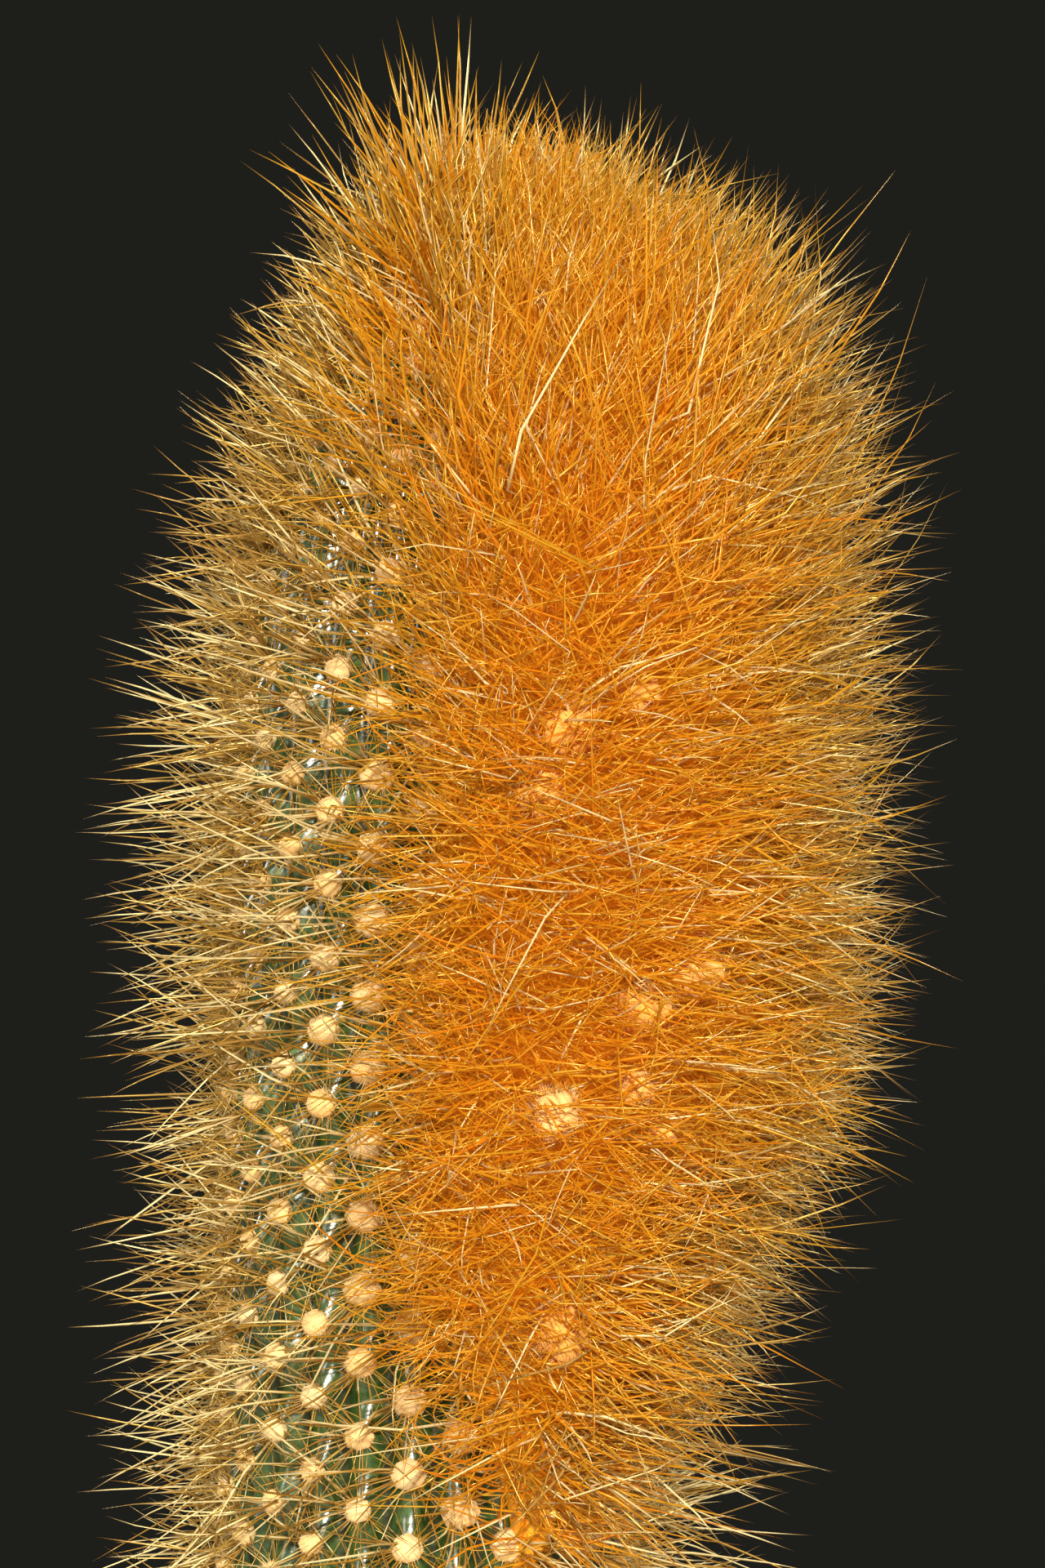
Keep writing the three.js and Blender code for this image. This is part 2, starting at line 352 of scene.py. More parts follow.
def turn_pot():
    start_fresh()
    bpy.ops.mesh.primitive_circle_add(vertices=POT_SIDES, radius=DRAIN_RADIUS, fill_type="NOTHING")
    pot = bpy.context.object
    collar_foot = POT_TOP - COLLAR
    rings = [
        (DRAIN_RADIUS, 0),
        (POT_BASE, 0),
        (RIM_RADIUS - COLLAR_STEP, collar_foot),
        (RIM_RADIUS - 0.4 * MM, collar_foot + 0.5 * MM),
        (RIM_RADIUS, POT_TOP - COLLAR / 2),
        (RIM_RADIUS, POT_TOP),
        (inner_wall(POT_TOP), POT_TOP),
        (inner_wall(POT_FLOOR), POT_FLOOR),
        (DRAIN_RADIUS, POT_FLOOR),
    ]
    edit(pot)
    for before, after in zip(rings, rings[1:]):
        next_ring(before, after)
    bpy.ops.mesh.select_all(action="DESELECT")
    bpy.ops.mesh.select_non_manifold()
    bpy.ops.mesh.bridge_edge_loops()
    bpy.ops.mesh.select_all(action="SELECT")
    bpy.ops.mesh.normals_make_consistent(inside=False)
    bpy.ops.object.mode_set(mode="OBJECT")
    bevel = pot.modifiers.new("worn edges", "BEVEL")
    bevel.width = 1.6 * MM
    bevel.segments = 3
    bevel.angle_limit = math.radians(25)
    bpy.ops.object.modifier_apply(modifier=bevel.name)
    return pot


# %% [markdown]
# Fired clay is matt, a warm orange-brown, never one even tone: the mould and the kiln leave it
# mottled, fine grog speckles it, and lime from hard water blooms in pale clouds near the foot.

# %% Clay material
def make_clay():
    material, nodes = new_material("fired_clay")
    place = nodes.add("ShaderNodeTexCoord").outputs["Object"]
    patches = mottling(nodes, place, 22)
    clay = nodes.ramp(patches, [
        (0.3, (0.33, 0.125, 0.06)),
        (0.55, (0.47, 0.19, 0.095)),
        (0.8, (0.56, 0.26, 0.14)),
    ])
    speck_noise = nodes.add("ShaderNodeTexNoise", {"Vector": place, "Scale": 900, "Detail": 1})
    specks = nodes.ramp(speck_noise.outputs[0], [(0.3, (0.45, 0.4, 0.38)), (0.42, (1, 1, 1))])
    speckled = nodes.mix(0.8, clay, specks, "MULTIPLY")
    height = nodes.add("ShaderNodeSeparateXYZ", {0: place}).outputs["Z"]
    low = nodes.add("ShaderNodeMapRange", {0: height, 1: 0.0, 2: 0.07, 3: 1.0, 4: 0.0}).outputs[0]
    clouds = mottling(nodes, place, 45)
    lime_mask = nodes.math("MULTIPLY", low, nodes.math("SUBTRACT", clouds, 0.42, clamp=True))
    lime = nodes.mix(nodes.math("MULTIPLY", lime_mask, 3.2, clamp=True), speckled, (0.72, 0.62, 0.54))
    grain = nodes.add(
        "ShaderNodeBump",
        {"Strength": 0.35, "Distance": 0.6 * MM, "Height": grit(nodes, place, 700)},
    )
    dull = nodes.add("ShaderNodeMapRange", {0: patches, 1: 0.3, 2: 0.7, 3: 0.72, 4: 0.9}).outputs[0]
    clay_shader = nodes.add(
        "ShaderNodeBsdfPrincipled",
        {"Base Color": lime, "Roughness": dull, "Normal": grain.outputs[0], "Specular IOR Level": 0.3},
    )
    surface(nodes, clay_shader.outputs[0])
    return material


finish_piece(turn_pot(), "clay_pot", make_clay(), "pot")

# %% [markdown]
# ## The soil
#
# Cactus soil is mostly mineral grit. The ground is a disc, subdivided and pushed about by a noise,
# with its rim carried down the inside of the pot. Loose grains of three kinds lie on it: each kind
# is an icosphere knocked out of round once, and then copied with its own turn and size.

# %% Model the ground
SOIL_RADIUS = inner_wall(SOIL_TOP) - 0.4 * MM
SOIL_FLOOR = POT_FLOOR + 0.3 * MM
SOIL_RINGS = 14


def soil_height(x, y):
    """The uneven top of the soil: a low mound at the stem and a rough surface."""
    mound = 1.5 * MM * (1 - math.hypot(x, y) / SOIL_RADIUS)
    rough = 0.9 * MM * noise.noise(Vector((x, y, 0)) * 70) + 0.5 * MM * noise.noise(Vector((x, y, 1)) * 240)
    return SOIL_TOP + mound + rough - 0.5 * MM


def lay_soil():
    start_fresh()
    bpy.ops.mesh.primitive_circle_add(
        vertices=96, radius=SOIL_RADIUS, fill_type="NGON", location=(0, 0, SOIL_TOP)
    )
    ground = bpy.context.object
    bpy.ops.object.transform_apply(location=True)
    edit(ground)
    for _ in range(SOIL_RINGS):
        bpy.ops.mesh.inset(thickness=SOIL_RADIUS / (SOIL_RINGS + 2))
    bpy.ops.mesh.poke()
    bpy.ops.object.mode_set(mode="OBJECT")
    for vertex in ground.data.vertices:
        vertex.co.z = soil_height(vertex.co.x, vertex.co.y)
    edit(ground)
    bpy.ops.mesh.select_all(action="DESELECT")
    bpy.ops.mesh.select_non_manifold()
    rings = [(SOIL_RADIUS, SOIL_TOP), (inner_wall(SOIL_FLOOR) - 0.4 * MM, SOIL_FLOOR)]
    next_ring(*rings)
    bpy.ops.mesh.edge_face_add()
    bpy.ops.mesh.select_all(action="SELECT")
    bpy.ops.mesh.normals_make_consistent(inside=False)
    bpy.ops.object.mode_set(mode="OBJECT")
    return ground


# %% [markdown]
# ### Many copies in one mesh
#
# Grains, wool and spines come in thousands. Separate objects would choke the scene, so a shape is
# modelled once, read as plain arrays, and every copy's points are worked out by NumPy and written to
# one mesh. Each copy also gets a strip of the UV map of its own: U is the copy's tint from 0 to 1,
# and V runs along it. One small material can then colour them all differently.

# %% Helpers for copies
STRIP_MAP = "OFBake"
STRIP_WIDTH = 0.01


class Shape:
    """A modelled shape as arrays: its points and its triangles. The object itself is removed."""

    def __init__(self, obj):
        mesh = obj.data
        mesh.calc_loop_triangles()
        self.points = np.empty(len(mesh.vertices) * 3)
        mesh.vertices.foreach_get("co", self.points)
        self.points = self.points.reshape(-1, 3)
        self.triangles = np.empty(len(mesh.loop_triangles) * 3, dtype=np.int32)
        mesh.loop_triangles.foreach_get("vertices", self.triangles)
        self.triangles = self.triangles.reshape(-1, 3)
        bpy.data.objects.remove(obj)


def mesh_of_copies(name, shape, points, tints, along):
    """One object from points of shape (copies, points, 3), a tint per copy and a V per point."""
    copies, per_copy = points.shape[:2]
    offsets = np.arange(copies, dtype=np.int32)[:, None, None] * per_copy
    corners = (shape.triangles[None] + offsets).reshape(-1)
    mesh = bpy.data.meshes.new(name)
    mesh.vertices.add(copies * per_copy)
    mesh.vertices.foreach_set("co", points.astype(np.float32).reshape(-1))
    mesh.loops.add(len(corners))
    mesh.loops.foreach_set("vertex_index", corners)
    mesh.polygons.add(len(corners) // 3)
    mesh.polygons.foreach_set("loop_start", np.arange(0, len(corners), 3, dtype=np.int32))
    strip = mesh.uv_layers.new(name=STRIP_MAP)
    local = shape.triangles.reshape(-1)
    nudge = np.tile(np.array([0, 0.5, 1]) * STRIP_WIDTH, len(shape.triangles))
    u = np.clip(tints, 0, 1)[:, None] * (1 - 2 * STRIP_WIDTH) + nudge[None]
    v = np.broadcast_to(np.asarray(along)[local][None], u.shape)
    strip.data.foreach_set("uv", np.stack([u, v], -1).astype(np.float32).reshape(-1))
    mesh.update(calc_edges=True)
    mesh.validate()
    obj = bpy.data.objects.new(name, mesh)
    bpy.context.scene.collection.objects.link(obj)
    return obj


def tint_and_along(nodes):
    """The two numbers that the strip map holds: a copy's tint, and the place along it."""
    strip = nodes.add("ShaderNodeUVMap", uv_map=STRIP_MAP).outputs[0]
    split = nodes.add("ShaderNodeSeparateXYZ", {0: strip})
    return split.outputs["X"], split.outputs["Y"]


# %% Grains of grit
GRAINS = 1700
GRAIN_SEED = 5


def knock_out_of_round(seed):
    """An icosphere of unit size, dented into a broken stone."""
    start_fresh()
    bpy.ops.mesh.primitive_ico_sphere_add(subdivisions=1, radius=1)
    stone = bpy.context.object
    edit(stone)
    bpy.ops.transform.resize(value=(1.0, 0.78, 0.62))
    for turn in range(4):
        angle = seed * 2.1 + turn * 1.7
        normal = Vector((math.cos(angle), math.sin(angle), 0.5 * math.sin(3 * angle))).normalized()
        bpy.ops.mesh.select_all(action="SELECT")
        bpy.ops.mesh.bisect(plane_co=normal * 0.62, plane_no=normal, use_fill=True, clear_outer=True)
    bpy.ops.mesh.select_all(action="SELECT")
    bpy.ops.mesh.quads_convert_to_tris()
    bpy.ops.object.mode_set(mode="OBJECT")
    collapse = stone.modifiers.new("fewer faces", "DECIMATE")
    collapse.ratio = 0.35
    bpy.ops.object.modifier_apply(modifier=collapse.name)
    return Shape(stone)


def random_turns(random, count):
    """Random rotation matrices, one per copy, from normalised quaternions."""
    q = random.normal(size=(count, 4))
    w, x, y, z = (q / np.linalg.norm(q, axis=1, keepdims=True)).T
    return np.stack([
        np.stack([1 - 2 * (y * y + z * z), 2 * (x * y - z * w), 2 * (x * z + y * w)], -1),
        np.stack([2 * (x * y + z * w), 1 - 2 * (x * x + z * z), 2 * (y * z - x * w)], -1),
        np.stack([2 * (x * z - y * w), 2 * (y * z + x * w), 1 - 2 * (x * x + y * y)], -1),
    ], 1)


def strew_grains(kind):
    random = np.random.default_rng(GRAIN_SEED + kind)
    stone = knock_out_of_round(kind)
    count = GRAINS // 3
    near_stem = crest_radius(SOIL_TOP) + 1 * MM
    reach = SOIL_RADIUS - 1.5 * MM
    radius = np.sqrt(random.uniform(near_stem**2, reach**2, count))
    turn = random.uniform(0, 2 * math.pi, count)
    size = random.uniform(0.7, 1.0, count) * (0.9 + 1.6 * random.random(count) ** 3) * MM
    x, y = radius * np.cos(turn), radius * np.sin(turn)
    ground = np.array([soil_height(a, b) for a, b in zip(x, y)])
    centre = np.stack([x, y, ground + size * 0.25], -1)
    turned = np.einsum("nij,vj->nvi", random_turns(random, count), stone.points)
    points = centre[:, None] + turned * size[:, None, None]
    tint = (kind + random.random(count)) / 3
    return mesh_of_copies("grains", stone, points, tint, np.full(len(stone.points), 0.5))


# %% Soil materials
def make_soil():
    material, nodes = new_material("potting_soil")
    place = nodes.add("ShaderNodeTexCoord").outputs["Object"]
    crumbs = mottling(nodes, place, 260)
    colour = nodes.ramp(crumbs, [
        (0.32, (0.02, 0.013, 0.009)),
        (0.5, (0.06, 0.04, 0.027)),
        (0.68, (0.15, 0.11, 0.08)),
    ])
    bump = nodes.add(
        "ShaderNodeBump",
        {"Strength": 0.9, "Distance": 1.5 * MM, "Height": grit(nodes, place, 420)},
    )
    shader = nodes.add(
        "ShaderNodeBsdfPrincipled",
        {"Base Color": colour, "Roughness": 0.95, "Normal": bump.outputs[0], "Specular IOR Level": 0.25},
    )
    surface(nodes, shader.outputs[0])
    return material


def make_grain_stone():
    """Pumice, lava and river grit: one ramp over the tint picks the kind and its shade."""
    material, nodes = new_material("mineral_grains")
    tint, _ = tint_and_along(nodes)
    kinds = nodes.ramp(tint, [
        (0.0, (0.25, 0.21, 0.17)),
        (0.3, (0.44, 0.39, 0.32)),
        (0.36, (0.16, 0.06, 0.035)),
        (0.62, (0.28, 0.12, 0.07)),
        (0.7, (0.1, 0.09, 0.08)),
        (1.0, (0.3, 0.26, 0.2)),
    ])
    place = nodes.add("ShaderNodeTexCoord").outputs["Object"]
    bump = nodes.add(
        "ShaderNodeBump",
        {"Strength": 0.6, "Distance": 0.4 * MM, "Height": grit(nodes, place, 1500)},
    )
    shader = nodes.add(
        "ShaderNodeBsdfPrincipled",
        {"Base Color": kinds, "Roughness": 0.85, "Normal": bump.outputs[0]},
    )
    surface(nodes, shader.outputs[0])
    return material


finish_piece(lay_soil(), "soil_ground", make_soil(), "soil")
grain_stone = make_grain_stone()
for kind, name in enumerate(("pumice_grains", "lava_grains", "river_grit")):
    finish_piece(strew_grains(kind), name, grain_stone, "soil")

# %% [markdown]
# ## The stem
#
# The column has 26 rounded ribs with sharp grooves between them, and a shallow notch across each rib
# midway between two areoles. Extruding 26 ribs by hand would leave no way to notch them, so this
# piece starts as a flat grid that is rolled up: every column of the grid is an angle, every row a
# height, and one formula gives the radius. The seam and the apex are then merged.

# %% Areole rule
PITCH = 9.87 * MM
CROWN_PITCH_SHARE = 0.5
LOWEST_AREOLE = 136.7 * MM
HIGHEST_AREOLE = 428.5 * MM


def first_areole(rib):
    """Areoles of neighbouring ribs are staggered by half a pitch."""
    return LOWEST_AREOLE + np.where(rib % 2 == 0, PITCH / 2, 0)


def areole_heights(rib):
    heights = []
    z = float(first_areole(np.array(rib)))
    while z < HIGHEST_AREOLE:
        heights.append(z)
        pitch = PITCH * (1 - (1 - CROWN_PITCH_SHARE) * crown_share(z))
        z += float(pitch * np.cos(normal_rise(z)))
    return heights


# %% Model the stem
RIB_COLUMNS = 6
STEM_ROWS = 190
NOTCH_DEPTH = 1.2 * MM
SWELL = 0.7 * MM


def rib_profile(angle):
    """1 on the crest of a rib and 0 in the groove, rounded on top and sharp below."""
    return np.abs(np.cos((angle - FIRST_RIB) * RIBS / 2)) ** 0.9


def skin_radius(angle, z):
    crest = crest_radius(z)
    profile = rib_profile(angle)
    depth = RIB_DEPTH * crest / STEM_RADIUS
    rib = np.round((angle - FIRST_RIB) / RIB_TURN).astype(int) % RIBS
    phase = ((z - first_areole(rib)) / PITCH) % 1.0
    notch = NOTCH_DEPTH * np.exp(-(((phase - 0.5) / 0.08) ** 2))
    swell = SWELL * np.cos(2 * math.pi * phase)
    relief = (swell - notch) * profile**2 * (1 - blend_in(z, SHOULDER, 0.4))
    return crest - depth * (1 - profile) + relief


def roll_up_stem():
    start_fresh()
    columns = RIBS * RIB_COLUMNS
    bpy.ops.mesh.primitive_grid_add(x_subdivisions=columns, y_subdivisions=STEM_ROWS, size=1)
    stem = bpy.context.object
    flat = np.empty(len(stem.data.vertices) * 3)
    stem.data.vertices.foreach_get("co", flat)
    across, up = flat.reshape(-1, 3)[:, 0] + 0.5, flat.reshape(-1, 3)[:, 1] + 0.5
    angle = FIRST_RIB + across * 2 * math.pi
    z = ROOT_END + (APEX - ROOT_END) * np.sin(up * math.pi / 2) ** 0.92
    points = around(angle, np.maximum(skin_radius(angle, z), 0), z)
    stem.data.vertices.foreach_set("co", points.reshape(-1))
    edit(stem)
    bpy.ops.mesh.remove_doubles(threshold=0.02 * MM)
    bpy.ops.mesh.select_all(action="DESELECT")
    bpy.ops.mesh.select_non_manifold()
    bpy.ops.mesh.edge_face_add()
    bpy.ops.mesh.select_all(action="SELECT")
    bpy.ops.mesh.normals_make_consistent(inside=False)
    bpy.ops.object.mode_set(mode="OBJECT")
    return stem


# %% [markdown]
# The skin is a glossy dark green. Its swollen crests carry paler patches, partly a waxy bloom and
# partly a painted highlight, and its grooves are darkened with painted shade. An old plant turns brown
# and corky just above the soil. A float attribute on the mesh keeps how far each point stands out of
# its groove, so the material can tell crest from groove.

# %% Skin material
CORK_TOP = 150 * MM
CORK_FULL = 128 * MM


def mark_relief(stem):
    points = np.empty(len(stem.data.vertices) * 3)
    stem.data.vertices.foreach_get("co", points)
    x, y, z = points.reshape(-1, 3).T
    angle = np.arctan2(x - axis_offset(z), -y)
    relief = stem.data.attributes.new("relief", "FLOAT", "POINT")
    relief.data.foreach_set("value", rib_profile(angle))


def make_skin():
    material, nodes = new_material("green_skin")
    place = nodes.add("ShaderNodeTexCoord").outputs["Object"]
    relief = nodes.add("ShaderNodeAttribute", attribute_name="relief").outputs["Fac"]
    patches = mottling(nodes, place, 110)
    green = nodes.ramp(patches, [
        (0.35, (0.016, 0.048, 0.009)),
        (0.5, (0.034, 0.088, 0.016)),
        (0.68, (0.08, 0.155, 0.03)),
    ])
    # Paler patches on the crests: partly a waxy bloom, partly a painted highlight on the swollen parts.
    waxy_and_highlight_patches = nodes.math("SUBTRACT", mottling(nodes, place, 190), 0.5, clamp=True)
    bloom_and_highlight_mask = nodes.math("MULTIPLY", nodes.math("MULTIPLY", waxy_and_highlight_patches, 1.6), relief, clamp=True)
    bloom_and_highlight = nodes.mix(bloom_and_highlight_mask, green, (0.2, 0.32, 0.16))
    # Painted shade: the grooves between the ribs are darkened, where shade falls.
    groove = nodes.ramp(relief, [(0.1, (0.3, 0.3, 0.22)), (0.55, (1, 1, 1))])
    living = nodes.mix(1.0, bloom_and_highlight, groove, "MULTIPLY")
    above_soil = nodes.add("ShaderNodeSeparateXYZ", {0: place}).outputs["Z"]
    corky = nodes.add("ShaderNodeMapRange", {0: above_soil, 1: CORK_TOP, 2: CORK_FULL}).outputs[0]
    cork = nodes.ramp(patches, [(0.35, (0.05, 0.035, 0.018)), (0.65, (0.16, 0.11, 0.06))])
    colour = nodes.mix(corky, living, cork)
    height = nodes.add("ShaderNodeTexNoise", {"Vector": place, "Scale": 900, "Detail": 3}).outputs[0]
    bump = nodes.add("ShaderNodeBump", {"Strength": 0.25, "Distance": 0.3 * MM, "Height": height})
    gloss = nodes.add("ShaderNodeMapRange", {0: patches, 1: 0.3, 2: 0.7, 3: 0.2, 4: 0.36}).outputs[0]
    shader = nodes.add(
        "ShaderNodeBsdfPrincipled",
        {"Base Color": colour, "Roughness": gloss, "Normal": bump.outputs[0], "Specular IOR Level": 1.0,
         "Coat Weight": 0.5, "Coat Roughness": 0.16},
    )
    surface(nodes, shader.outputs[0])
    return material


stem = roll_up_stem()
mark_relief(stem)
finish_piece(stem, "stem_skin", make_skin(), "stem")

# %% [markdown]
# ## The areoles
#
# An areole is the cushion of wool that every spine of a cactus grows from. They sit on the crests of
# the ribs, about 10 mm apart. All later pieces need the same places, so they are worked out once,
# with three directions at each: out of the skin, along the rib, and sideways.

# %% Areole places
class Areoles:
    def __init__(self):
        angle, z, rib = [], [], []
        for index in range(RIBS):
            turn = index - RIBS if index > RIBS / 2 else index
            for height in areole_heights(index):
                angle.append(FIRST_RIB + turn * RIB_TURN)
                z.append(height)
                rib.append(index)
        self.take(np.array(angle), np.array(z), np.array(rib))

    def take(self, angle, z, rib):
        self.angle, self.z, self.rib = angle, z, rib
        rise = normal_rise(z)
        self.point = around(angle, skin_radius(angle, z), z)
        self.out = heading(angle, rise)
        self.up = heading(angle, rise + math.pi / 2)
        self.side = np.cross(self.up, self.out)

    def only(self, keep):
        chosen = object.__new__(Areoles)
        chosen.take(self.angle[keep], self.z[keep], self.rib[keep])
        return chosen

    def repeated(self, count):
        return self.only(np.repeat(np.arange(len(self.z)), count))


CEPHALIUM_FOOT = 247 * MM
CEPHALIUM_TOP = 424 * MM
CEPHALIUM_LEFT = math.radians(-1)
CEPHALIUM_RIGHT = math.radians(96)
CEPHALIUM_TIP = math.radians(28)
TIP_HALF_WIDTH = math.radians(3)
LEFT_TAPER = 48 * MM
RIGHT_TAPER = 75 * MM


def cephalium_edges(z):
    """The angles of the band's left and right edge: it narrows to a tip at its lower end."""
    on_left = blend_in(z, CEPHALIUM_FOOT, CEPHALIUM_FOOT + LEFT_TAPER)
    on_right = blend_in(z, CEPHALIUM_FOOT, CEPHALIUM_FOOT + RIGHT_TAPER)
    left = (CEPHALIUM_TIP - TIP_HALF_WIDTH) * (1 - on_left) + CEPHALIUM_LEFT * on_left
    right = (CEPHALIUM_TIP + TIP_HALF_WIDTH) * (1 - on_right) + CEPHALIUM_RIGHT * on_right
    return left, right


def inside_cephalium(angle, z):
    left, right = cephalium_edges(z)
    level = (z > CEPHALIUM_FOOT) & (z < CEPHALIUM_TOP)
    return level & (angle > left) & (angle < right)


def warmth(angle, z):
    """0 for straw far from the cephalium, 1 for its deep orange. The crown is golden."""
    left, right = cephalium_edges(np.maximum(z, CEPHALIUM_FOOT))
    beside = np.maximum(np.maximum(left - angle, angle - right), 0)
    below = np.maximum(CEPHALIUM_FOOT - z, 0) / (12 * MM)
    near = np.exp(-beside / math.radians(14)) * np.exp(-below)
    crown = 0.6 * blend_in(z, 0.37, 0.405) * (1 - blend_in(beside, math.radians(10), math.radians(60)))
    return np.clip(np.maximum(0.45 * near, crown), 0, 1)


areoles = Areoles()
covered = inside_cephalium(areoles.angle, areoles.z)
open_areoles = areoles.only(~covered)
print(len(areoles.z), "areoles, of which the cephalium covers", int(covered.sum()))

# %% [markdown]
# ### Wool cushions
#
# Each cushion is a flattened tuft with a soft, ragged rim. It is modelled once, as a low sphere
# pressed flat and knocked out of round by a noise, and then wears a brush of short hairs. The hairs
# are three-sided spikes, so a few dozen of them cost little, and their tips break up the outline.

# %% Model the wool cushion
def model_cushion():
    start_fresh()
    bpy.ops.mesh.primitive_uv_sphere_add(segments=8, ring_count=5, radius=1)
    cushion = bpy.context.object
    edit(cushion)
    bpy.ops.transform.resize(value=(0.85, 0.78, 0.62))
    bpy.ops.mesh.quads_convert_to_tris()
    bpy.ops.object.mode_set(mode="OBJECT")
    for vertex in cushion.data.vertices:
        vertex.co *= 1 + 0.1 * noise.noise(vertex.co * 2.3)
    return Shape(cushion)


def model_spike():
    """A spike from the origin along +Z, one unit long and one unit in radius at its root."""
    start_fresh()
    bpy.ops.mesh.primitive_cone_add(
        vertices=3, radius1=1, radius2=0, depth=1, end_fill_type="NOTHING", location=(0, 0, 0.5)
    )
    spike = bpy.context.object
    bpy.ops.object.transform_apply(location=True)
    return spike


CUSHION_RADIUS = 2.4 * MM
LARGER_BESIDE = 0.9 * MM
HAIRS_PER_CUSHION = 38
HAIR_RADIUS = 0.09 * MM
WOOL_SEED = 11


def cushion_copies(spots, size, seed):
    """The cushions at the given areoles, each a little different in size and turn."""
    random = np.random.default_rng(seed)
    cushion = model_cushion()
    count = len(spots.z)
    # One draw per cushion is skipped, so that the wobble and the tints stay those of earlier renders.
    random.bit_generator.advance(count)
    wobble = 1 + 0.12 * (random.random((count, 1, 1)) - 0.5)
    local = cushion.points[None] * size[:, None, None] * wobble
    axes = (spots.side[:, None], spots.up[:, None], spots.out[:, None])
    points = spots.point[:, None] + sum(local[..., i, None] * axes[i] for i in range(3))
    tint = random.uniform(0.4, 1.0, count)
    # V rises from the base of the cushion to its top, and the material paints shade on the low end.
    along = 0.35 + 0.55 * np.clip(cushion.points[:, 2] / 0.7, 0, 1)
    return mesh_of_copies("wool", cushion, points, tint, along)


# %% [markdown]
# ## Spines
#
# A spine is a slender cone that tapers towards its tip and bends a little. The template is a
# three-sided cone, cut across with Bisect where it has to bend, and swelled at the cuts because real
# spines stay thick for most of their length. Each copy gets a root, a direction, a length, a
# thickness, a bend and a tint. Smooth shading makes three sides read as round.

# %% Model the spine and grow copies
def model_spine(cuts, swell):
    """A spike with rings at the given heights, each widened by its factor."""
    spine = model_spike()
    edit(spine)
    for height in cuts:
        bpy.ops.mesh.select_all(action="SELECT")
        bpy.ops.mesh.bisect(plane_co=(0, 0, height), plane_no=(0, 0, 1))
    bpy.ops.mesh.select_all(action="SELECT")
    bpy.ops.mesh.quads_convert_to_tris()
    bpy.ops.object.mode_set(mode="OBJECT")
    for vertex in spine.data.vertices:
        for height, factor in zip(cuts, swell):
            if abs(vertex.co.z - height) < 0.01:
                vertex.co.x *= factor
                vertex.co.y *= factor
    return Shape(spine)


STRAW = 0.12
LONG_SPINE = model_spine(cuts=(0.28, 0.56, 0.83), swell=(1.35, 2.0, 3.4))
STOUT_SPINE = model_spine(cuts=(0.4, 0.78), swell=(1.45, 2.5))
SHORT_SPINE = model_spine(cuts=(0.6,), swell=(1.6,))
HAIR = model_spine(cuts=(), swell=())
print("triangles per long, stout and short spine and per hair:",
      [len(shape.triangles) for shape in (LONG_SPINE, STOUT_SPINE, SHORT_SPINE, HAIR)])


def unit(vectors):
    return vectors / np.maximum(np.linalg.norm(vectors, axis=-1, keepdims=True), 1e-12)


def grow(name, shape, root, way, length, radius, bend, tint, random, arc=(0, 0, 0)):
    """Copies of a spine shape. bend pushes the tip aside, and arc the middle."""
    count = len(root)
    helper = unit(random.normal(size=(count, 3)))
    first = unit(np.cross(way, helper))
    second = np.cross(way, first)
    t = shape.points[:, 2]
    centre = root[:, None] + way[:, None] * (length[:, None, None] * t[None, :, None])
    centre = centre + bend[:, None] * (t**2)[None, :, None]
    centre = centre + np.asarray(arc)[..., None, :] * np.sin(math.pi * t)[None, :, None]
    x, y = shape.points[None, :, 0, None], shape.points[None, :, 1, None]
    points = centre + radius[:, None, None] * (first[:, None] * x + second[:, None] * y)
    return mesh_of_copies(name, shape, points, tint, t)


def tints(warm, spread, pale_with_glint, random):
    """Tints around a warmth from straw to rust. A share of the copies gets tint 0: pale, with a painted
    glint.
    """
    tint = np.clip(warm + random.normal(0, spread, len(warm)), 0, 1)
    tint = STRAW + (1 - STRAW) * tint
    return np.where(random.random(len(warm)) < pale_with_glint, 0, tint)


def tilted(way, side, up, sideways, upward):
    """Directions turned by small angles towards side and up."""
    return unit(way + side * np.tan(sideways)[:, None] + up * np.tan(upward)[:, None])


def right_slope(angle, z):
    """The crown slopes down to the right: a factor for the lengths there."""
    rightward = np.sin(angle)
    top = 0.2 * blend_in(rightward, 0, 0.5) * blend_in(z, 0.402, 0.42)
    on_shoulder = blend_in(z, 0.37, 0.385) * (1 - blend_in(z, 0.4, 0.41))
    return 1 - top + 0.12 * blend_in(rightward, 0.7, 1) * on_shoulder


def spine_rise(z):
    """Spines stand up at the crown, level along the middle and a little down towards the foot."""
    up = blend_in(z, 0.325, 0.400) * math.radians(27)
    down = (1 - blend_in(z, 0.250, 0.325)) * math.radians(-9)
    rise = normal_rise(z)
    return rise + (up + down) * (1 - rise / (math.pi / 2))


COAT_REACH = 73 * MM


def within_reach(root, way, length, bend, random):
    """How much of their length bristles keep, so that no tip stands out past the coat."""
    tip = root + way * length[:, None] + bend
    axis = axis_offset(root[:, 2])
    at_root = np.hypot(root[:, 0] - axis, root[:, 1])
    at_tip = np.hypot(tip[:, 0] - axis, tip[:, 1])
    limit = COAT_REACH * random.uniform(0.92, 1.0, len(root))
    return np.clip((limit - at_root) / np.maximum(at_tip - at_root, 1 * MM), 0.3, 1)


LOWEST_TIP = SOIL_TOP + 4 * MM


def keep_above_soil(root, way, length):
    """Lifts the directions whose tips would dip into the soil."""
    tip_height = root[:, 2] + way[:, 2] * length
    needed = np.where(tip_height < LOWEST_TIP, (LOWEST_TIP - root[:, 2]) / length, way[:, 2])
    lifted = way.copy()
    lifted[:, 2] = np.maximum(way[:, 2], needed)
    return unit(lifted)


# %% [markdown]
# An areole carries two kinds of spines. The radials are short and lie like a star over the skin. The
# centrals are long and stand out; there are more of them towards the crown, where they close over the
# skin. About a third of them are full grown, nearly straight, and reach the outline, and the rest are
# shorter and curlier. On the ribs next to the cephalium the centrals are combed away from it. Both
# kinds leave the cushion at its rim, so that the wool shows in the middle.

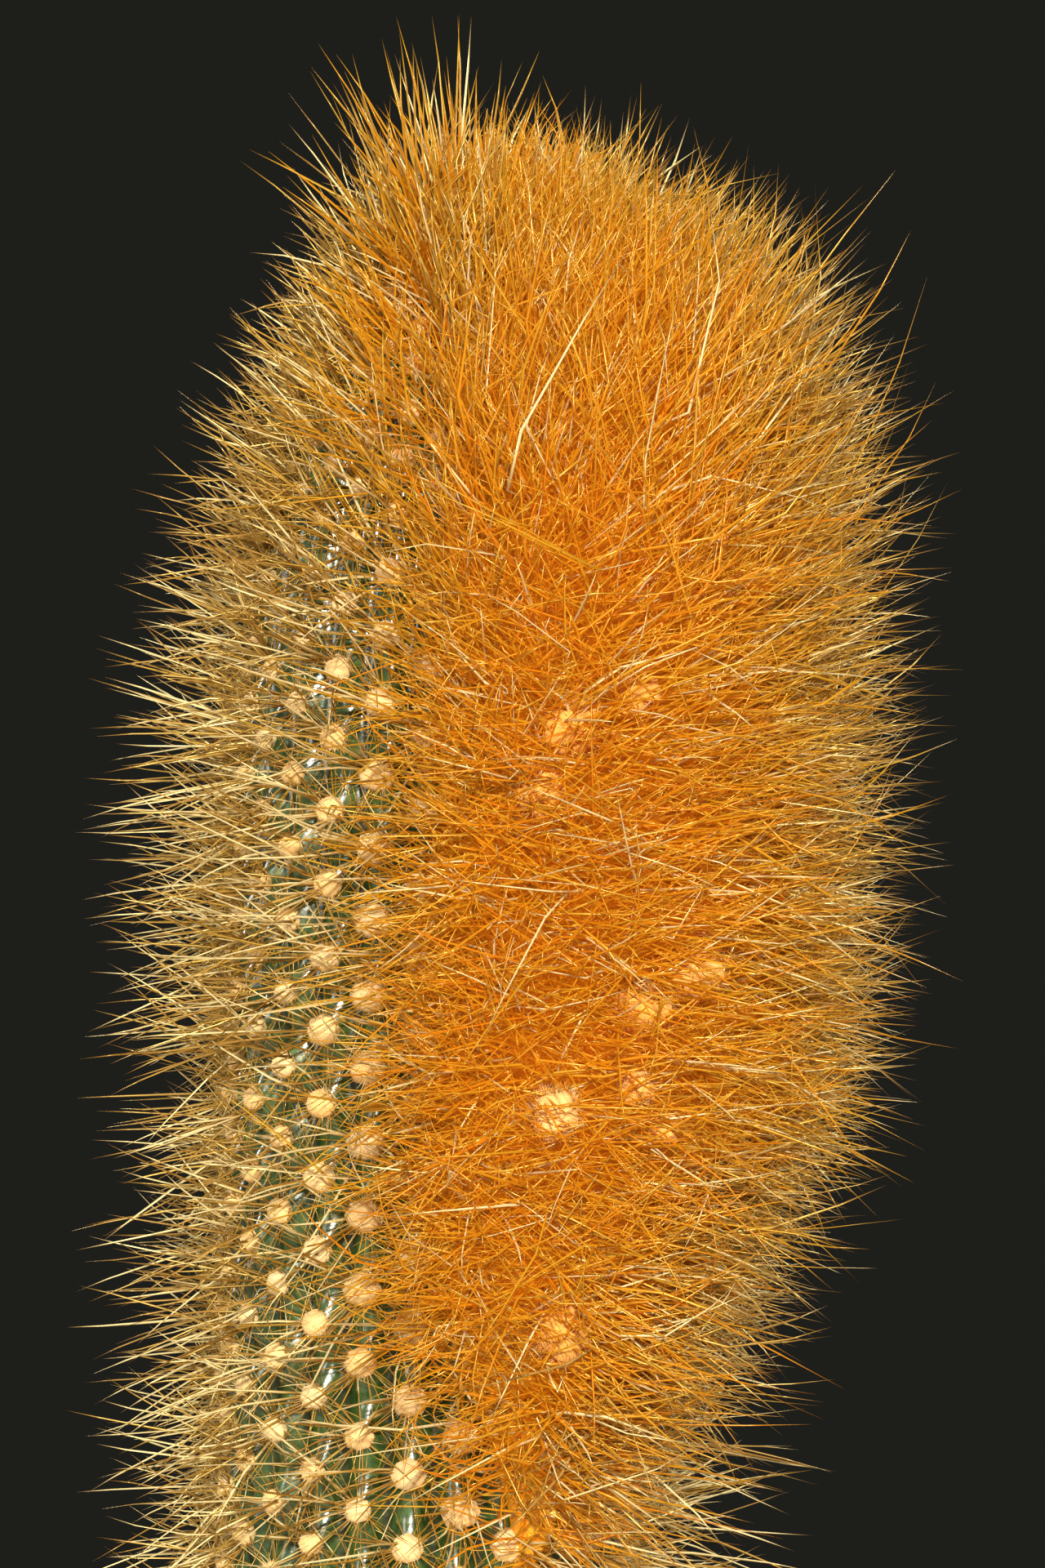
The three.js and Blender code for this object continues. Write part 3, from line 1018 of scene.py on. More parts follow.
# %% Central and radial spines
CENTRALS = 8
MORE_AT_CROWN = 6
SPINE_HEIGHTS = [300, 365, 400, 416, 425, 433]
SPINE_LENGTHS = [22.5, 22.5, 21, 17, 23, 15]
LONGER_BESIDE = 0.2
RADIALS = 19
SPINE_SEED = 1912
RIM = 1.7 * MM
FULL_GROWN = 0.3
CENTRAL_SPREAD = math.radians(18)
CENTRAL_RADIUS = 0.22 * MM
RADIAL_LENGTH = 10.5 * MM
RADIAL_RADIUS = 0.125 * MM
COMBED = math.radians(48)
COMBED_REACH = math.radians(55)


def combed_away(angle, z):
    """How far spines beside the cephalium are turned away from it: to smaller angles on its left."""
    left, right = cephalium_edges(np.maximum(z, CEPHALIUM_FOOT + LEFT_TAPER))
    on_left = np.exp(-np.abs(left - angle) / COMBED_REACH)
    on_right = np.exp(-np.abs(angle - right) / COMBED_REACH)
    return COMBED * (on_right - on_left) * blend_in(z, 0.20, 0.27) * (1 - blend_in(z, 0.39, 0.43))


def longest_spine(spots):
    """The length of a full-grown central spine: by its height, and by the side that it stands on."""
    angle, z = spots.angle, spots.z
    left, right = cephalium_edges(np.maximum(z, CEPHALIUM_FOOT))
    beside = np.maximum(left - angle, angle - right)
    longest = np.interp(z / MM, SPINE_HEIGHTS, SPINE_LENGTHS) * MM
    longest = longest * (1 + LONGER_BESIDE * (1 - blend_in(beside, 0.2, 1.2)))
    longest = longest * (1 + 0.2 * blend_in(angle, 0.7, 1.3) * (1 - blend_in(z, 0.265, 0.29)))
    longest = longest * np.where((z > 0.42) & (np.abs(angle + 0.6) < 0.5), 1.35, 1)
    longest = longest * (1 - 0.15 * blend_in(-angle, 0.6, 1.2) * blend_in(z, 0.385, 0.405))
    return longest * right_slope(angle, z)


def central_spines(spots, seed):
    random = np.random.default_rng(seed)
    counts = CENTRALS + np.round(MORE_AT_CROWN * blend_in(spots.z, 0.31, 0.345)).astype(int)
    which = np.repeat(np.arange(len(spots.z)), counts)
    many = spots.only(which)
    count = len(which)
    base = heading(many.angle + combed_away(many.angle, many.z), spine_rise(many.z))
    lean = random.normal(0, 0.12, (2, len(spots.z)))[:, which]
    sideways, upward = lean + random.normal(0, CENTRAL_SPREAD, (2, count))
    way = tilted(base, many.side, many.up, sideways, upward)
    full_grown = random.random(count) < FULL_GROWN
    share = np.where(full_grown, random.uniform(0.84, 1.04, count), random.uniform(0.34, 0.8, count))
    length = share * longest_spine(many)
    way = keep_above_soil(many.point, way, length)
    outward = unit(way - many.out * np.sum(way * many.out, axis=1, keepdims=True))
    root = many.point + outward * RIM * random.uniform(0.6, 1.2, (count, 1))
    curl = np.where(full_grown, 0.12, 0.32) * length
    bend = np.cross(way, unit(random.normal(size=(count, 3)))) * curl[:, None]
    radius = CENTRAL_RADIUS * random.uniform(0.75, 1.15, count) * (1 + 0.2 * blend_in(many.z, 0.37, 0.42))
    # The share of spines that carry a painted glint, fewer on the crown.
    pale_with_glint = 0.42 - 0.22 * blend_in(many.z, 0.35, 0.39)
    tint = tints(warmth(many.angle, many.z), 0.08, pale_with_glint, random)
    return grow("centrals", STOUT_SPINE, root, way, length, radius, bend, tint, random)


def radial_spines(spots, per_areole, seed):
    random = np.random.default_rng(seed)
    many = spots.repeated(per_areole)
    count = len(many.z)
    turn = np.tile(np.arange(per_areole) * 2 * math.pi / per_areole, len(spots.z))
    turn = turn + random.normal(0, 0.16, count)
    lie = np.radians(np.clip(random.normal(64, 13, count), 25, 86))
    flat = many.side * np.cos(turn)[:, None] + many.up * np.sin(turn)[:, None]
    way = unit(many.out * np.cos(lie)[:, None] + flat * np.sin(lie)[:, None])
    length = RADIAL_LENGTH * np.clip(random.normal(0.85, 0.22, count), 0.4, 1.3)
    way = keep_above_soil(many.point, way, length)
    root = many.point + flat * RIM
    bend = many.out * (length * random.uniform(0.0, 0.22, count))[:, None]
    radius = RADIAL_RADIUS * random.uniform(0.75, 1.15, count)
    tint = tints(0.12 + warmth(many.angle, many.z), 0.07, 0.12, random)
    return grow("radials", SHORT_SPINE, root, way, length, radius, bend, tint, random)


# %% [markdown]
# Spines are horny, glossy and let some light through. Young ones near the cephalium are orange and
# even. Old ones are straw, browner at the tip, and darker at the root, partly their own brown and partly
# painted shade where the roots lie deep in the coat. Some of them are dulled, and some are pale and carry
# a painted glint, a cream stretch along their middle. The tint on the strip map picks the colour, and the
# place along the spine shades it. In the thick of the cephalium the light goes on from strand to strand
# many more times than a render follows it, so the orange ones carry a painted glow that stands in for it.

# %% Spine material
def spine_colour(nodes, tint, along):
    """Orange ones are even; straw ones are worn, browner at the tip with painted shade at the root, or pale
    with a painted glint.
    """
    body = nodes.ramp(tint, [
        (STRAW, (0.72, 0.46, 0.13)),
        (0.35, (0.84, 0.53, 0.06)),
        (0.55, (0.86, 0.49, 0.02)),
        (0.78, (0.88, 0.44, 0.008)),
        (1.0, (0.90, 0.36, 0.004)),
    ])
    own = nodes.add("ShaderNodeTexNoise", {"W": tint, "Scale": 90, "Detail": 0}, noise_dimensions="1D")
    worn = nodes.ramp(own.outputs[0], [(0.4, (0.46, 0.33, 0.18)), (0.62, (1, 1, 1))])
    # Browner at the tip, their own colour; darker at the root, partly their own brown and partly painted
    # shade where the roots lie deep in the coat.
    brown_tip_and_root_shade = nodes.ramp(along, [
        (0.0, (0.62, 0.52, 0.36)),
        (0.25, (1, 1, 1)),
        (0.7, (1, 1, 1)),
        (1.0, (0.62, 0.43, 0.22)),
    ])
    straw = nodes.add("ShaderNodeMapRange", {0: tint, 1: STRAW, 2: 0.5, 3: 1.0, 4: 0.2}).outputs[0]
    weathered_and_root_shaded = nodes.mix(1.0, nodes.mix(1.0, body, brown_tip_and_root_shade, "MULTIPLY"), worn, "MULTIPLY")
    shaded = nodes.mix(straw, body, weathered_and_root_shaded)
    # Painted glint: tint 0 marks the pale spines, and their middle is painted cream as a highlight.
    pale_with_glint = nodes.math("LESS_THAN", tint, STRAW / 2)
    middle = nodes.ramp(along, [
        (0.1, (0, 0, 0)),
        (0.35, (1, 1, 1)),
        (0.75, (1, 1, 1)),
        (1.0, (0, 0, 0)),
    ])
    return nodes.mix(nodes.math("MULTIPLY", pale_with_glint, middle), shaded, (1.0, 0.86, 0.46))


def make_spine_material():
    material, nodes = new_material("straw_spines")
    tint, along = tint_and_along(nodes)
    colour = spine_colour(nodes, tint, along)
    horn = nodes.add(
        "ShaderNodeBsdfPrincipled",
        {"Base Color": colour, "Roughness": 0.3, "IOR": 2.0, "Specular IOR Level": 1.0,
         "Specular Tint": (1.0, 0.84, 0.32, 1), "Emission Color": (1.0, 0.36, 0.02, 1)},
    )
    # Painted glow: the orange spines give off a little light, standing in for light passed on between
    # strands.
    painted_glow = nodes.math("MULTIPLY", nodes.math("SUBTRACT", tint, 0.3, clamp=True), 0.45)
    nodes.tree.links.new(painted_glow, horn.inputs["Emission Strength"])
    let_through = nodes.add("ShaderNodeBsdfTranslucent", {"Color": colour})
    clearness = nodes.add("ShaderNodeMapRange", {0: tint, 1: STRAW, 2: 0.7, 3: 0.22, 4: 0.5}).outputs[0]
    both = nodes.add("ShaderNodeMixShader", {0: clearness, 1: horn.outputs[0], 2: let_through.outputs[0]})
    surface(nodes, both.outputs[0])
    return material


def make_wool_material():
    material, nodes = new_material("cream_wool")
    tint, along = tint_and_along(nodes)
    body = nodes.ramp(tint, [
        (0.0, (0.93, 0.45, 0.09)),
        (0.4, (0.96, 0.60, 0.22)),
        (1.0, (1.0, 0.78, 0.42)),
    ])
    # Painted shade: the wool is darker towards the base of a cushion and the roots of its hairs.
    shade = nodes.ramp(along, [(0.0, (0.95, 0.85, 0.6)), (0.5, (1, 1, 1))])
    colour = nodes.mix(1.0, body, shade, "MULTIPLY")
    place = nodes.add("ShaderNodeTexCoord").outputs["Object"]
    fluff = nodes.add("ShaderNodeTexNoise", {"Vector": place, "Scale": 2600, "Detail": 3}).outputs[0]
    bump = nodes.add("ShaderNodeBump", {"Strength": 0.4, "Distance": 0.3 * MM, "Height": fluff})
    shader = nodes.add(
        "ShaderNodeBsdfPrincipled",
        {"Base Color": colour, "Roughness": 0.9, "Normal": bump.outputs[0], "Specular IOR Level": 0.2,
         "Sheen Weight": 0.6, "Sheen Tint": (1.0, 0.75, 0.4, 1)},
    )
    surface(nodes, shader.outputs[0])
    return material


spine_material = make_spine_material()
wool_material = make_wool_material()


# %% [markdown]
# With the cushion, the hairs and the wool's material ready, the open areoles get their wool. Those
# under the cephalium are left out, since its felt covers them.

# %% Wool on the ribs
def cushion_size(spots):
    """Cushions are largest beside the cephalium, and shrink over the crown."""
    left, right = cephalium_edges(np.maximum(spots.z, CEPHALIUM_FOOT))
    beside = np.maximum(left - spots.angle, spots.angle - right)
    near = 1 - blend_in(beside, math.radians(8), math.radians(50))
    return (CUSHION_RADIUS + LARGER_BESIDE * near) * (1 - 0.45 * crown_share(spots.z))


def cushion_hairs(spots, per_areole, seed):
    random = np.random.default_rng(seed)
    many = spots.repeated(per_areole)
    count = len(many.z)
    size = cushion_size(many)
    turn = random.uniform(0, 2 * math.pi, count)
    lie = np.radians(random.uniform(8, 84, count))
    flat = many.side * np.cos(turn)[:, None] + many.up * (0.82 * np.sin(turn))[:, None]
    way = unit(many.out * np.cos(lie)[:, None] + flat * np.sin(lie)[:, None])
    on_dome = flat * np.sin(lie)[:, None] + 0.6 * many.out * np.cos(lie)[:, None]
    root = many.point + on_dome * (size * 0.6)[:, None]
    length = size * random.uniform(0.35, 0.95, count)
    bend = unit(random.normal(size=(count, 3))) * length[:, None] * 0.4
    tint = random.uniform(0.45, 1, count)
    return grow("hairs", HAIR, root, way, length, np.full(count, HAIR_RADIUS), bend, tint, random)


finish_piece(cushion_copies(open_areoles, cushion_size(open_areoles), WOOL_SEED),
             "areole_wool", wool_material, "stem")
finish_piece(cushion_hairs(open_areoles, HAIRS_PER_CUSHION, WOOL_SEED + 1),
             "areole_wool_hairs", wool_material, "stem")

# %% [markdown]
# On the very apex the youngest areoles stand too close for ribs of their own. They follow each other
# round it by the golden angle, as seeds do in a sunflower, and close the crown when it is seen from
# above.

# %% Young areoles on the apex
APEX_CUSHION = 1.7 * MM
APEX_SPOTS = 24
APEX_REACH = 6.5 * MM
GOLDEN_ANGLE = math.radians(137.5)


def apex_spots():
    """The places of the youngest areoles, spread evenly over a small disc on the apex."""
    index = np.arange(APEX_SPOTS)
    radius = APEX_REACH * np.sqrt((index + 0.5) / APEX_SPOTS)
    angle = (index * GOLDEN_ANGLE) % (2 * math.pi) - math.pi
    risen = (1 - (radius / STEM_RADIUS) ** 2) ** (1 / CROWN_POWER)
    spots = areoles.only(np.zeros(APEX_SPOTS, int))
    spots.take(angle, SHOULDER + (APEX - SHOULDER) * risen, spots.rib)
    return spots


apex = apex_spots()
finish_piece(cushion_copies(apex, np.full(APEX_SPOTS, APEX_CUSHION), WOOL_SEED + 2),
             "apex_wool", wool_material, "stem")
finish_piece(central_spines(apex, SPINE_SEED + 50), "apex_spines",
             spine_material, "stem")

# %% [markdown]
# All the spines of the stem in one mesh would be heavy to handle, so they are grown in four quarters,
# the centrals and the radials apart.

# %% Spines round the stem
SECTORS = {"front": (-90, 0), "right": (0, 90), "back": (90, 180), "left": (-180, -90)}
degrees = (np.degrees(open_areoles.angle) + 180) % 360 - 180
for index, (name, (low, high)) in enumerate(SECTORS.items()):
    part = open_areoles.only((degrees >= low) & (degrees < high))
    seed = SPINE_SEED + 10 * index
    finish_piece(central_spines(part, seed), f"central_spines_{name}",
                 spine_material, "stem")
    finish_piece(radial_spines(part, RADIALS, seed + 1), f"radial_spines_{name}",
                 spine_material, "stem")

# %% [markdown]
# ## The cephalium
#
# Under the bristles lies a thick felt of wool. It is a grid wrapped over the ribs, like the stem,
# and pushed out by its thickness. The bristles come in two kinds: a tangled mat of short ones, in
# three pieces, that hides the felt, and long ones that stand out of it and give the band its outline.
# The felt's right side is paler, because the band is straw-coloured there, and the felt carries a
# painted glow, as the orange bristles do.

# %% Model the felt
WOOL_THICKNESS = 13.5 * MM
WOOL_EDGE = 0.8 * MM
GAP = 0.3 * MM
FOOT_ROUNDING = 5
TOP_ROUNDING = 6
PALE_FROM = 22 * MM
PALE_TO = 42 * MM


def wool_height(across, z):
    along = np.clip((z - CEPHALIUM_FOOT) / (CEPHALIUM_TOP - CEPHALIUM_FOOT), 0, 1)
    ends = np.minimum(1, np.minimum(np.sqrt(along * FOOT_ROUNDING), np.sqrt((1 - along) * TOP_ROUNDING)))
    return WOOL_EDGE + WOOL_THICKNESS * ends * np.sqrt(np.clip(np.sin(math.pi * across), 0, 1))


def cephalium_point(across, z, out):
    left, right = cephalium_edges(z)
    angle = left + (right - left) * across
    return around(angle, crest_radius(z), z) + heading(angle, normal_rise(z)) * np.asarray(out)[..., None]


def wrap_felt():
    start_fresh()
    bpy.ops.mesh.primitive_grid_add(x_subdivisions=48, y_subdivisions=110, size=1)
    felt = bpy.context.object
    flat = np.empty(len(felt.data.vertices) * 3)
    felt.data.vertices.foreach_get("co", flat)
    across, up = flat.reshape(-1, 3)[:, 0] + 0.5, flat.reshape(-1, 3)[:, 1] + 0.5
    z = CEPHALIUM_FOOT + (CEPHALIUM_TOP - CEPHALIUM_FOOT) * up
    lumps = np.array([noise.noise(Vector((a * 9, b * 16, 0))) for a, b in zip(across, up)])
    thickness = wool_height(across, z) * (0.9 + 0.25 * lumps)
    outer = cephalium_point(across, z, GAP + thickness)
    felt.data.vertices.foreach_set("co", outer.reshape(-1))
    solid = felt.modifiers.new("down to the ribs", "SOLIDIFY")
    solid.thickness = 2 * MM
    solid.offset = -1
    alone(felt)
    bpy.ops.object.modifier_apply(modifier=solid.name)
    edit(felt)
    bpy.ops.mesh.normals_make_consistent(inside=False)
    bpy.ops.object.mode_set(mode="OBJECT")
    return felt


def make_felt():
    material, nodes = new_material("orange_felt")
    place = nodes.add("ShaderNodeTexCoord").outputs["Object"]
    patches = mottling(nodes, place, 160)
    orange = nodes.ramp(patches, [
        (0.32, (0.9, 0.36, 0.02)),
        (0.5, (0.98, 0.48, 0.04)),
        (0.7, (1.0, 0.58, 0.08)),
    ])
    side = nodes.add("ShaderNodeSeparateXYZ", {0: place}).outputs["X"]
    to_right = nodes.add("ShaderNodeMapRange", {0: side, 1: PALE_FROM, 2: PALE_TO}).outputs[0]
    colour = nodes.mix(to_right, orange, (0.80, 0.52, 0.13))
    # Painted glow of the felt: orange on the left, paler on the right.
    painted_glow = nodes.mix(to_right, (1.0, 0.40, 0.02), (0.5, 0.30, 0.06))
    fibres = nodes.add("ShaderNodeTexNoise", {"Vector": place, "Scale": 1800, "Detail": 4}).outputs[0]
    bump = nodes.add("ShaderNodeBump", {"Strength": 1.0, "Distance": 0.8 * MM, "Height": fibres})
    shader = nodes.add(
        "ShaderNodeBsdfPrincipled",
        {"Base Color": colour, "Roughness": 0.85, "Normal": bump.outputs[0], "Specular IOR Level": 0.2,
         "Emission Color": painted_glow, "Emission Strength": 0.3},
    )
    surface(nodes, shader.outputs[0])
    return material


finish_piece(wrap_felt(), "cephalium_felt", make_felt(), "cephalium")

# %% [markdown]
# ### Tufts of wool
#
# Where a flower has been, a tuft of cream wool shows between the bristles, and the bristles part
# around it. Each tuft is an icosphere pulled into a rough ball, with short hairs all over. Its
# place is given as an angle round the stem, a height and a size. The last number says how much of it
# the bristles cross: 0 leaves the tuft bare, and 1 hides it.

# %% Model the tufts
TUFTS = [
    # degrees from the front, height and radius in millimetres, share of crossing bristles
    (20, 309.5, 3.8, 0.35),
    (33, 312.5, 2.6, 0.65),
    (38, 307.0, 2.6, 0.65),
    (46, 328.0, 5.6, 0.6),
    (35, 323.0, 4.6, 0.87),
    (22, 360.0, 4.6, 0.92),
    (32, 364.0, 4.0, 0.92),
    (17, 351.0, 4.0, 0.92),
    (60, 359.0, 3.0, 0.92),
    (22, 281.0, 4.4, 0.92),
    (72, 340.0, 3.0, 0.8),
    (64, 300.0, 3.0, 0.8),
]
TUFT_TOP = 9.5 * MM
BARE_TUFT_LIFT = 3 * MM
TUFT_HAIRS = 900
TUFT_HAIR_RADIUS = 0.08 * MM
TUFT_SEED = 31


def across_at(angle, z):
    left, right = cephalium_edges(z)
    return (angle - left) / (right - left)


def tuft_places():
    """Centre, direction of the opening, radius and share of crossing bristles of each tuft."""
    degrees, height, size, crossed = np.array(TUFTS).T
    angle, z = np.radians(degrees), height * MM
    out = heading(angle, np.zeros(len(z)))
    lift = wool_height(across_at(angle, z), z) + TUFT_TOP - size * MM + BARE_TUFT_LIFT * (1 - crossed)
    centre = around(angle, crest_radius(z), z) + out * lift[:, None]
    opening = heading(angle * 0.5, np.full(len(z), math.radians(24)))
    return centre, opening, size * MM, crossed


def model_tuft():
    start_fresh()
    bpy.ops.mesh.primitive_ico_sphere_add(subdivisions=3, radius=1)
    tuft = bpy.context.object
    for vertex in tuft.data.vertices:
        lumps = 0.3 * noise.noise(vertex.co * 1.4) + 0.05 * noise.noise(vertex.co * 4)
        vertex.co *= 0.8 + lumps
    return Shape(tuft)


def wool_tufts():
    centre, _, size, crossed = tuft_places()
    random = np.random.default_rng(TUFT_SEED)
    ball = model_tuft()
    count = len(size)
    turned = np.einsum("nij,vj->nvi", random_turns(random, count), ball.points)
    points = centre[:, None] + turned * size[:, None, None]
    # Painted shade: the more bristles cross a tuft, the lower its tint, and the darker and more orange its
    # wool.
    tint = 0.7 - 0.9 * crossed
    return mesh_of_copies("tufts", ball, points, tint, np.full(len(ball.points), 0.8))


def tuft_hairs():
    centre, _, size, crossed = tuft_places()
    random = np.random.default_rng(TUFT_SEED + 1)
    which = np.repeat(np.arange(len(size)), TUFT_HAIRS)
    count = len(which)
    way = unit(random.normal(size=(count, 3)))
    root = centre[which] + way * size[which, None] * 0.7
    way = unit(way + 1.0 * random.normal(size=(count, 3)))
    length = size[which] * random.uniform(0.3, 0.65, count)
    bend = random.normal(size=(count, 3)) * length[:, None] * 0.3
    # Painted shade, as on the tufts: hairs of more crossed tufts are darker and more orange.
    tint = 0.7 - 0.9 * crossed[which] + random.normal(0, 0.12, count)
    radius = np.full(count, TUFT_HAIR_RADIUS)
    return grow("hairs", HAIR, root, way, length, radius, bend, tint, random)


finish_piece(wool_tufts(), "wool_tufts", wool_material, "cephalium")
finish_piece(tuft_hairs(), "wool_tuft_hairs", wool_material, "cephalium")

# %% [markdown]
# ### Bristles
#
# The bristles spring from the areoles under the felt, so more than half of the mat starts in
# clusters, like sprays, and the rest fills in between them. Neighbours lean alike and fall in
# locks. The mat is combed sideways, mostly to the left at its left edge and to the right elsewhere,
# and tangles strongly. Towards the crown it straightens up.

# %% Places of the bristles
MAT_BRISTLES = 6500
CLUSTERED = 0.6
LONG_BRISTLES = 5200
BRISTLE_SEED = 404


def even_places(count, random):
    """Random places, about even over the felt: fewer are kept where the crown narrows."""
    tries = count * 3
    angle = random.uniform(-0.1, 1.75, tries)
    z = random.uniform(CEPHALIUM_FOOT, CEPHALIUM_TOP, tries)
    kept = inside_cephalium(angle, z) & (random.random(tries) < crest_radius(z) / STEM_RADIUS + 0.15)
    return angle[kept][:count], z[kept][:count]


def cluster_places(count, random):
    """Places near the covered areoles."""
    chosen = random.integers(0, int(covered.sum()), count)
    angle = areoles.angle[covered][chosen] + random.normal(0, math.radians(2.6), count)
    z = areoles.z[covered][chosen] + random.normal(0, 1.6 * MM, count)
    kept = inside_cephalium(angle, z)
    return angle[kept], z[kept]


def felt_frame(angle, z):
    """Directions on the felt: out, up along it, and sideways to the right."""
    rise = normal_rise(z)
    out, up = heading(angle, rise), heading(angle, rise + math.pi / 2)
    return out, up, np.cross(up, out)


def combing(across):
    """The sideways turn of the long bristles at a place across the band."""
    return np.radians(np.interp(across, [0, 0.1, 0.35, 1], [-30, -8, 26, 4]))


def locks(angle, z, seed, width=5 * MM):
    """A slow random number, -1 to 1, that neighbouring bristles share, so that they fall in locks."""
    places = np.stack([angle * STEM_RADIUS, z, np.full(len(z), seed * 7.0)], -1)
    size = (width, width, 1)
    return np.array([noise.noise(Vector(place / size)) for place in places])


def clear_of_tufts(root, way, length, bend, random):
    """False for bristles that would cover a tuft, apart from a share of them that cross it."""
    centre, opening, size, crossed = tuft_places()
    hidden = np.zeros((len(root), len(size)), bool)
    for share in (0.25, 0.5, 0.75, 1.0):
        point = root + way * (length * share)[:, None] + bend * share**2
        offset = point[:, None] - centre[None]
        ahead = np.einsum("ntj,tj->nt", offset, opening)
        aside = np.linalg.norm(offset - ahead[..., None] * opening[None], axis=-1)
        hidden |= (ahead > -1 * MM) & (aside < size[None] * 0.9 + 0.25 * ahead)
    stays = random.random(hidden.shape) < crossed[None]
    return ~(hidden & ~stays).any(axis=1)


# %% Bristles of the mat
MAT_LENGTH = 21 * MM
MAT_RADIUS = 0.2 * MM
TO_RIGHT_PLACES = [0, 0.12, 0.3, 0.5, 1]
TO_RIGHT_SHARES = [0.05, 0.3, 0.7, 0.85, 0.92]
LIMB_FROM, LIMB_TO = 0.4, 0.9


def mat_roots(angle, z, across, out, layer, calm, random):
    """Mat bristles spring from all depths of the wool, some of them from hills above it."""
    wool = wool_height(across, z)
    depth = GAP + wool * random.uniform(0.8, 1.0, len(z))
    hills = 6 * locks(angle, z, 4, 9 * MM)
    depth = depth + calm * (6 * layer - 1 + hills) * MM * np.sqrt(wool / WOOL_THICKNESS)
    return around(angle, crest_radius(z), z) + out * depth[:, None]


def mat_flow(angle, z, across, random):
    """The direction over the felt that a bristle is combed in, and if it is combed to the right."""
    _, up, side = felt_frame(angle, z)
    to_right = random.random(len(z)) < np.interp(across, TO_RIGHT_PLACES, TO_RIGHT_SHARES)
    rising = math.radians(65) * blend_in(z, 0.335, 0.40) * (1 - 0.6 * blend_in(across, LIMB_FROM, LIMB_TO))
    turn = np.where(to_right, rising, math.pi - rising)
    turn = turn + random.normal(0, 0.38, len(z)) + 0.8 * locks(angle, z, 1)
    return side * np.cos(turn)[:, None] + up * np.sin(turn)[:, None], to_right


def mat_length(angle, z, across, over_ribs, random):
    """Bristles are shorter at the band's lower end and on the very top, and where they lie over ribs."""
    near_foot = 1 - 0.45 * across * (1 - blend_in(z, 0.27, 0.335)) - 0.3 * (1 - blend_in(z, 0.247, 0.27))
    at_limb = blend_in(across, LIMB_FROM, LIMB_TO)
    above = 1 + 0.3 * blend_in(z, 0.36, 0.39) * (1 - 0.8 * at_limb) - 0.35 * blend_in(z, 0.39, 0.42)
    own = np.clip(random.normal(0.95, 0.22, len(z)), 0.4, 1.35)
    return MAT_LENGTH * near_foot * above * own * (1 - 0.45 * over_ribs) * right_slope(angle, z)


def paleness(across, z):
    """Paler bristles grow at the crown, on the lower right and along the left edge."""
    low_right = blend_in(across, 0.2, 0.6) * (1 - blend_in(z, 0.27, 0.315))
    left_edge = 1 - blend_in(across, 0.0, 0.2)
    return 0.15 * blend_in(z, 0.375, 0.42) + 0.55 * low_right + 0.4 * left_edge


def mat_bristles(shape, count, seed):
    random = np.random.default_rng(seed)
    angle, z = cluster_places(int(count * CLUSTERED), random)
    more_angle, more_z = even_places(count - len(z), random)
    angle, z = np.concatenate([angle, more_angle]), np.concatenate([z, more_z])
    count = len(z)
    across = across_at(angle, z)
    calm = 1 - 0.6 * blend_in(z, 0.365, 0.405)
    layer = random.random(count)
    root = mat_roots(angle, z, across, heading(angle, normal_rise(z)), layer, calm, random)
    flow, to_right = mat_flow(angle, z, across, random)
    over_ribs = ~to_right * (1 - blend_in(across, 0.05, 0.3))
    lie = np.radians(np.clip(random.normal(52, 14, count), 8, 90)) * calm
    base = heading(angle, spine_rise(z))
    way = unit(base * np.cos(lie)[:, None] + flow * np.sin(lie)[:, None])
    length = mat_length(angle, z, across, over_ribs, random)
    over = flow * random.uniform(0.1, 0.6, (count, 1)) - base * random.uniform(0.1, 0.45, (count, 1))
    bend = (over + 0.22 * random.normal(size=(count, 3))) * (length * calm)[:, None]
    curl = random.uniform(0.04, 0.28, count) * (1.7 - 0.7 * blend_in(across, 0.15, 0.5))
    arc = unit(np.cross(way, random.normal(size=(count, 3)))) * (length * curl)[:, None]
    kept = within_reach(root, way, length, bend, random)
    length, bend, arc = length * kept, bend * kept[:, None], arc * kept[:, None]
    clear = clear_of_tufts(root, way, length, bend, random) & (random.random(count) > 0.5 * over_ribs)
    radius = MAT_RADIUS * random.uniform(0.6, 1.3, count)
    pale = np.minimum(0.7 * blend_in(across, 0.35, 0.9) + paleness(across, z), 0.72)
    pale = pale + 0.25 * locks(angle, z, 5, 9 * MM)
    # Painted shade: bristles deeper in the mat (small layer) get a higher tint, a deeper and darker orange.
    tint = tints(0.9 - 0.3 * layer - pale, 0.1, 0.06, random)
    parts = (root, way, length, radius, bend, tint)
    return grow("mat", shape, *(part[clear] for part in parts), random, arc[clear])


# %% Long bristles
LONG_LENGTH = 36 * MM
LONG_RADIUS = 0.25 * MM
LONG_SPREAD = math.radians(13)


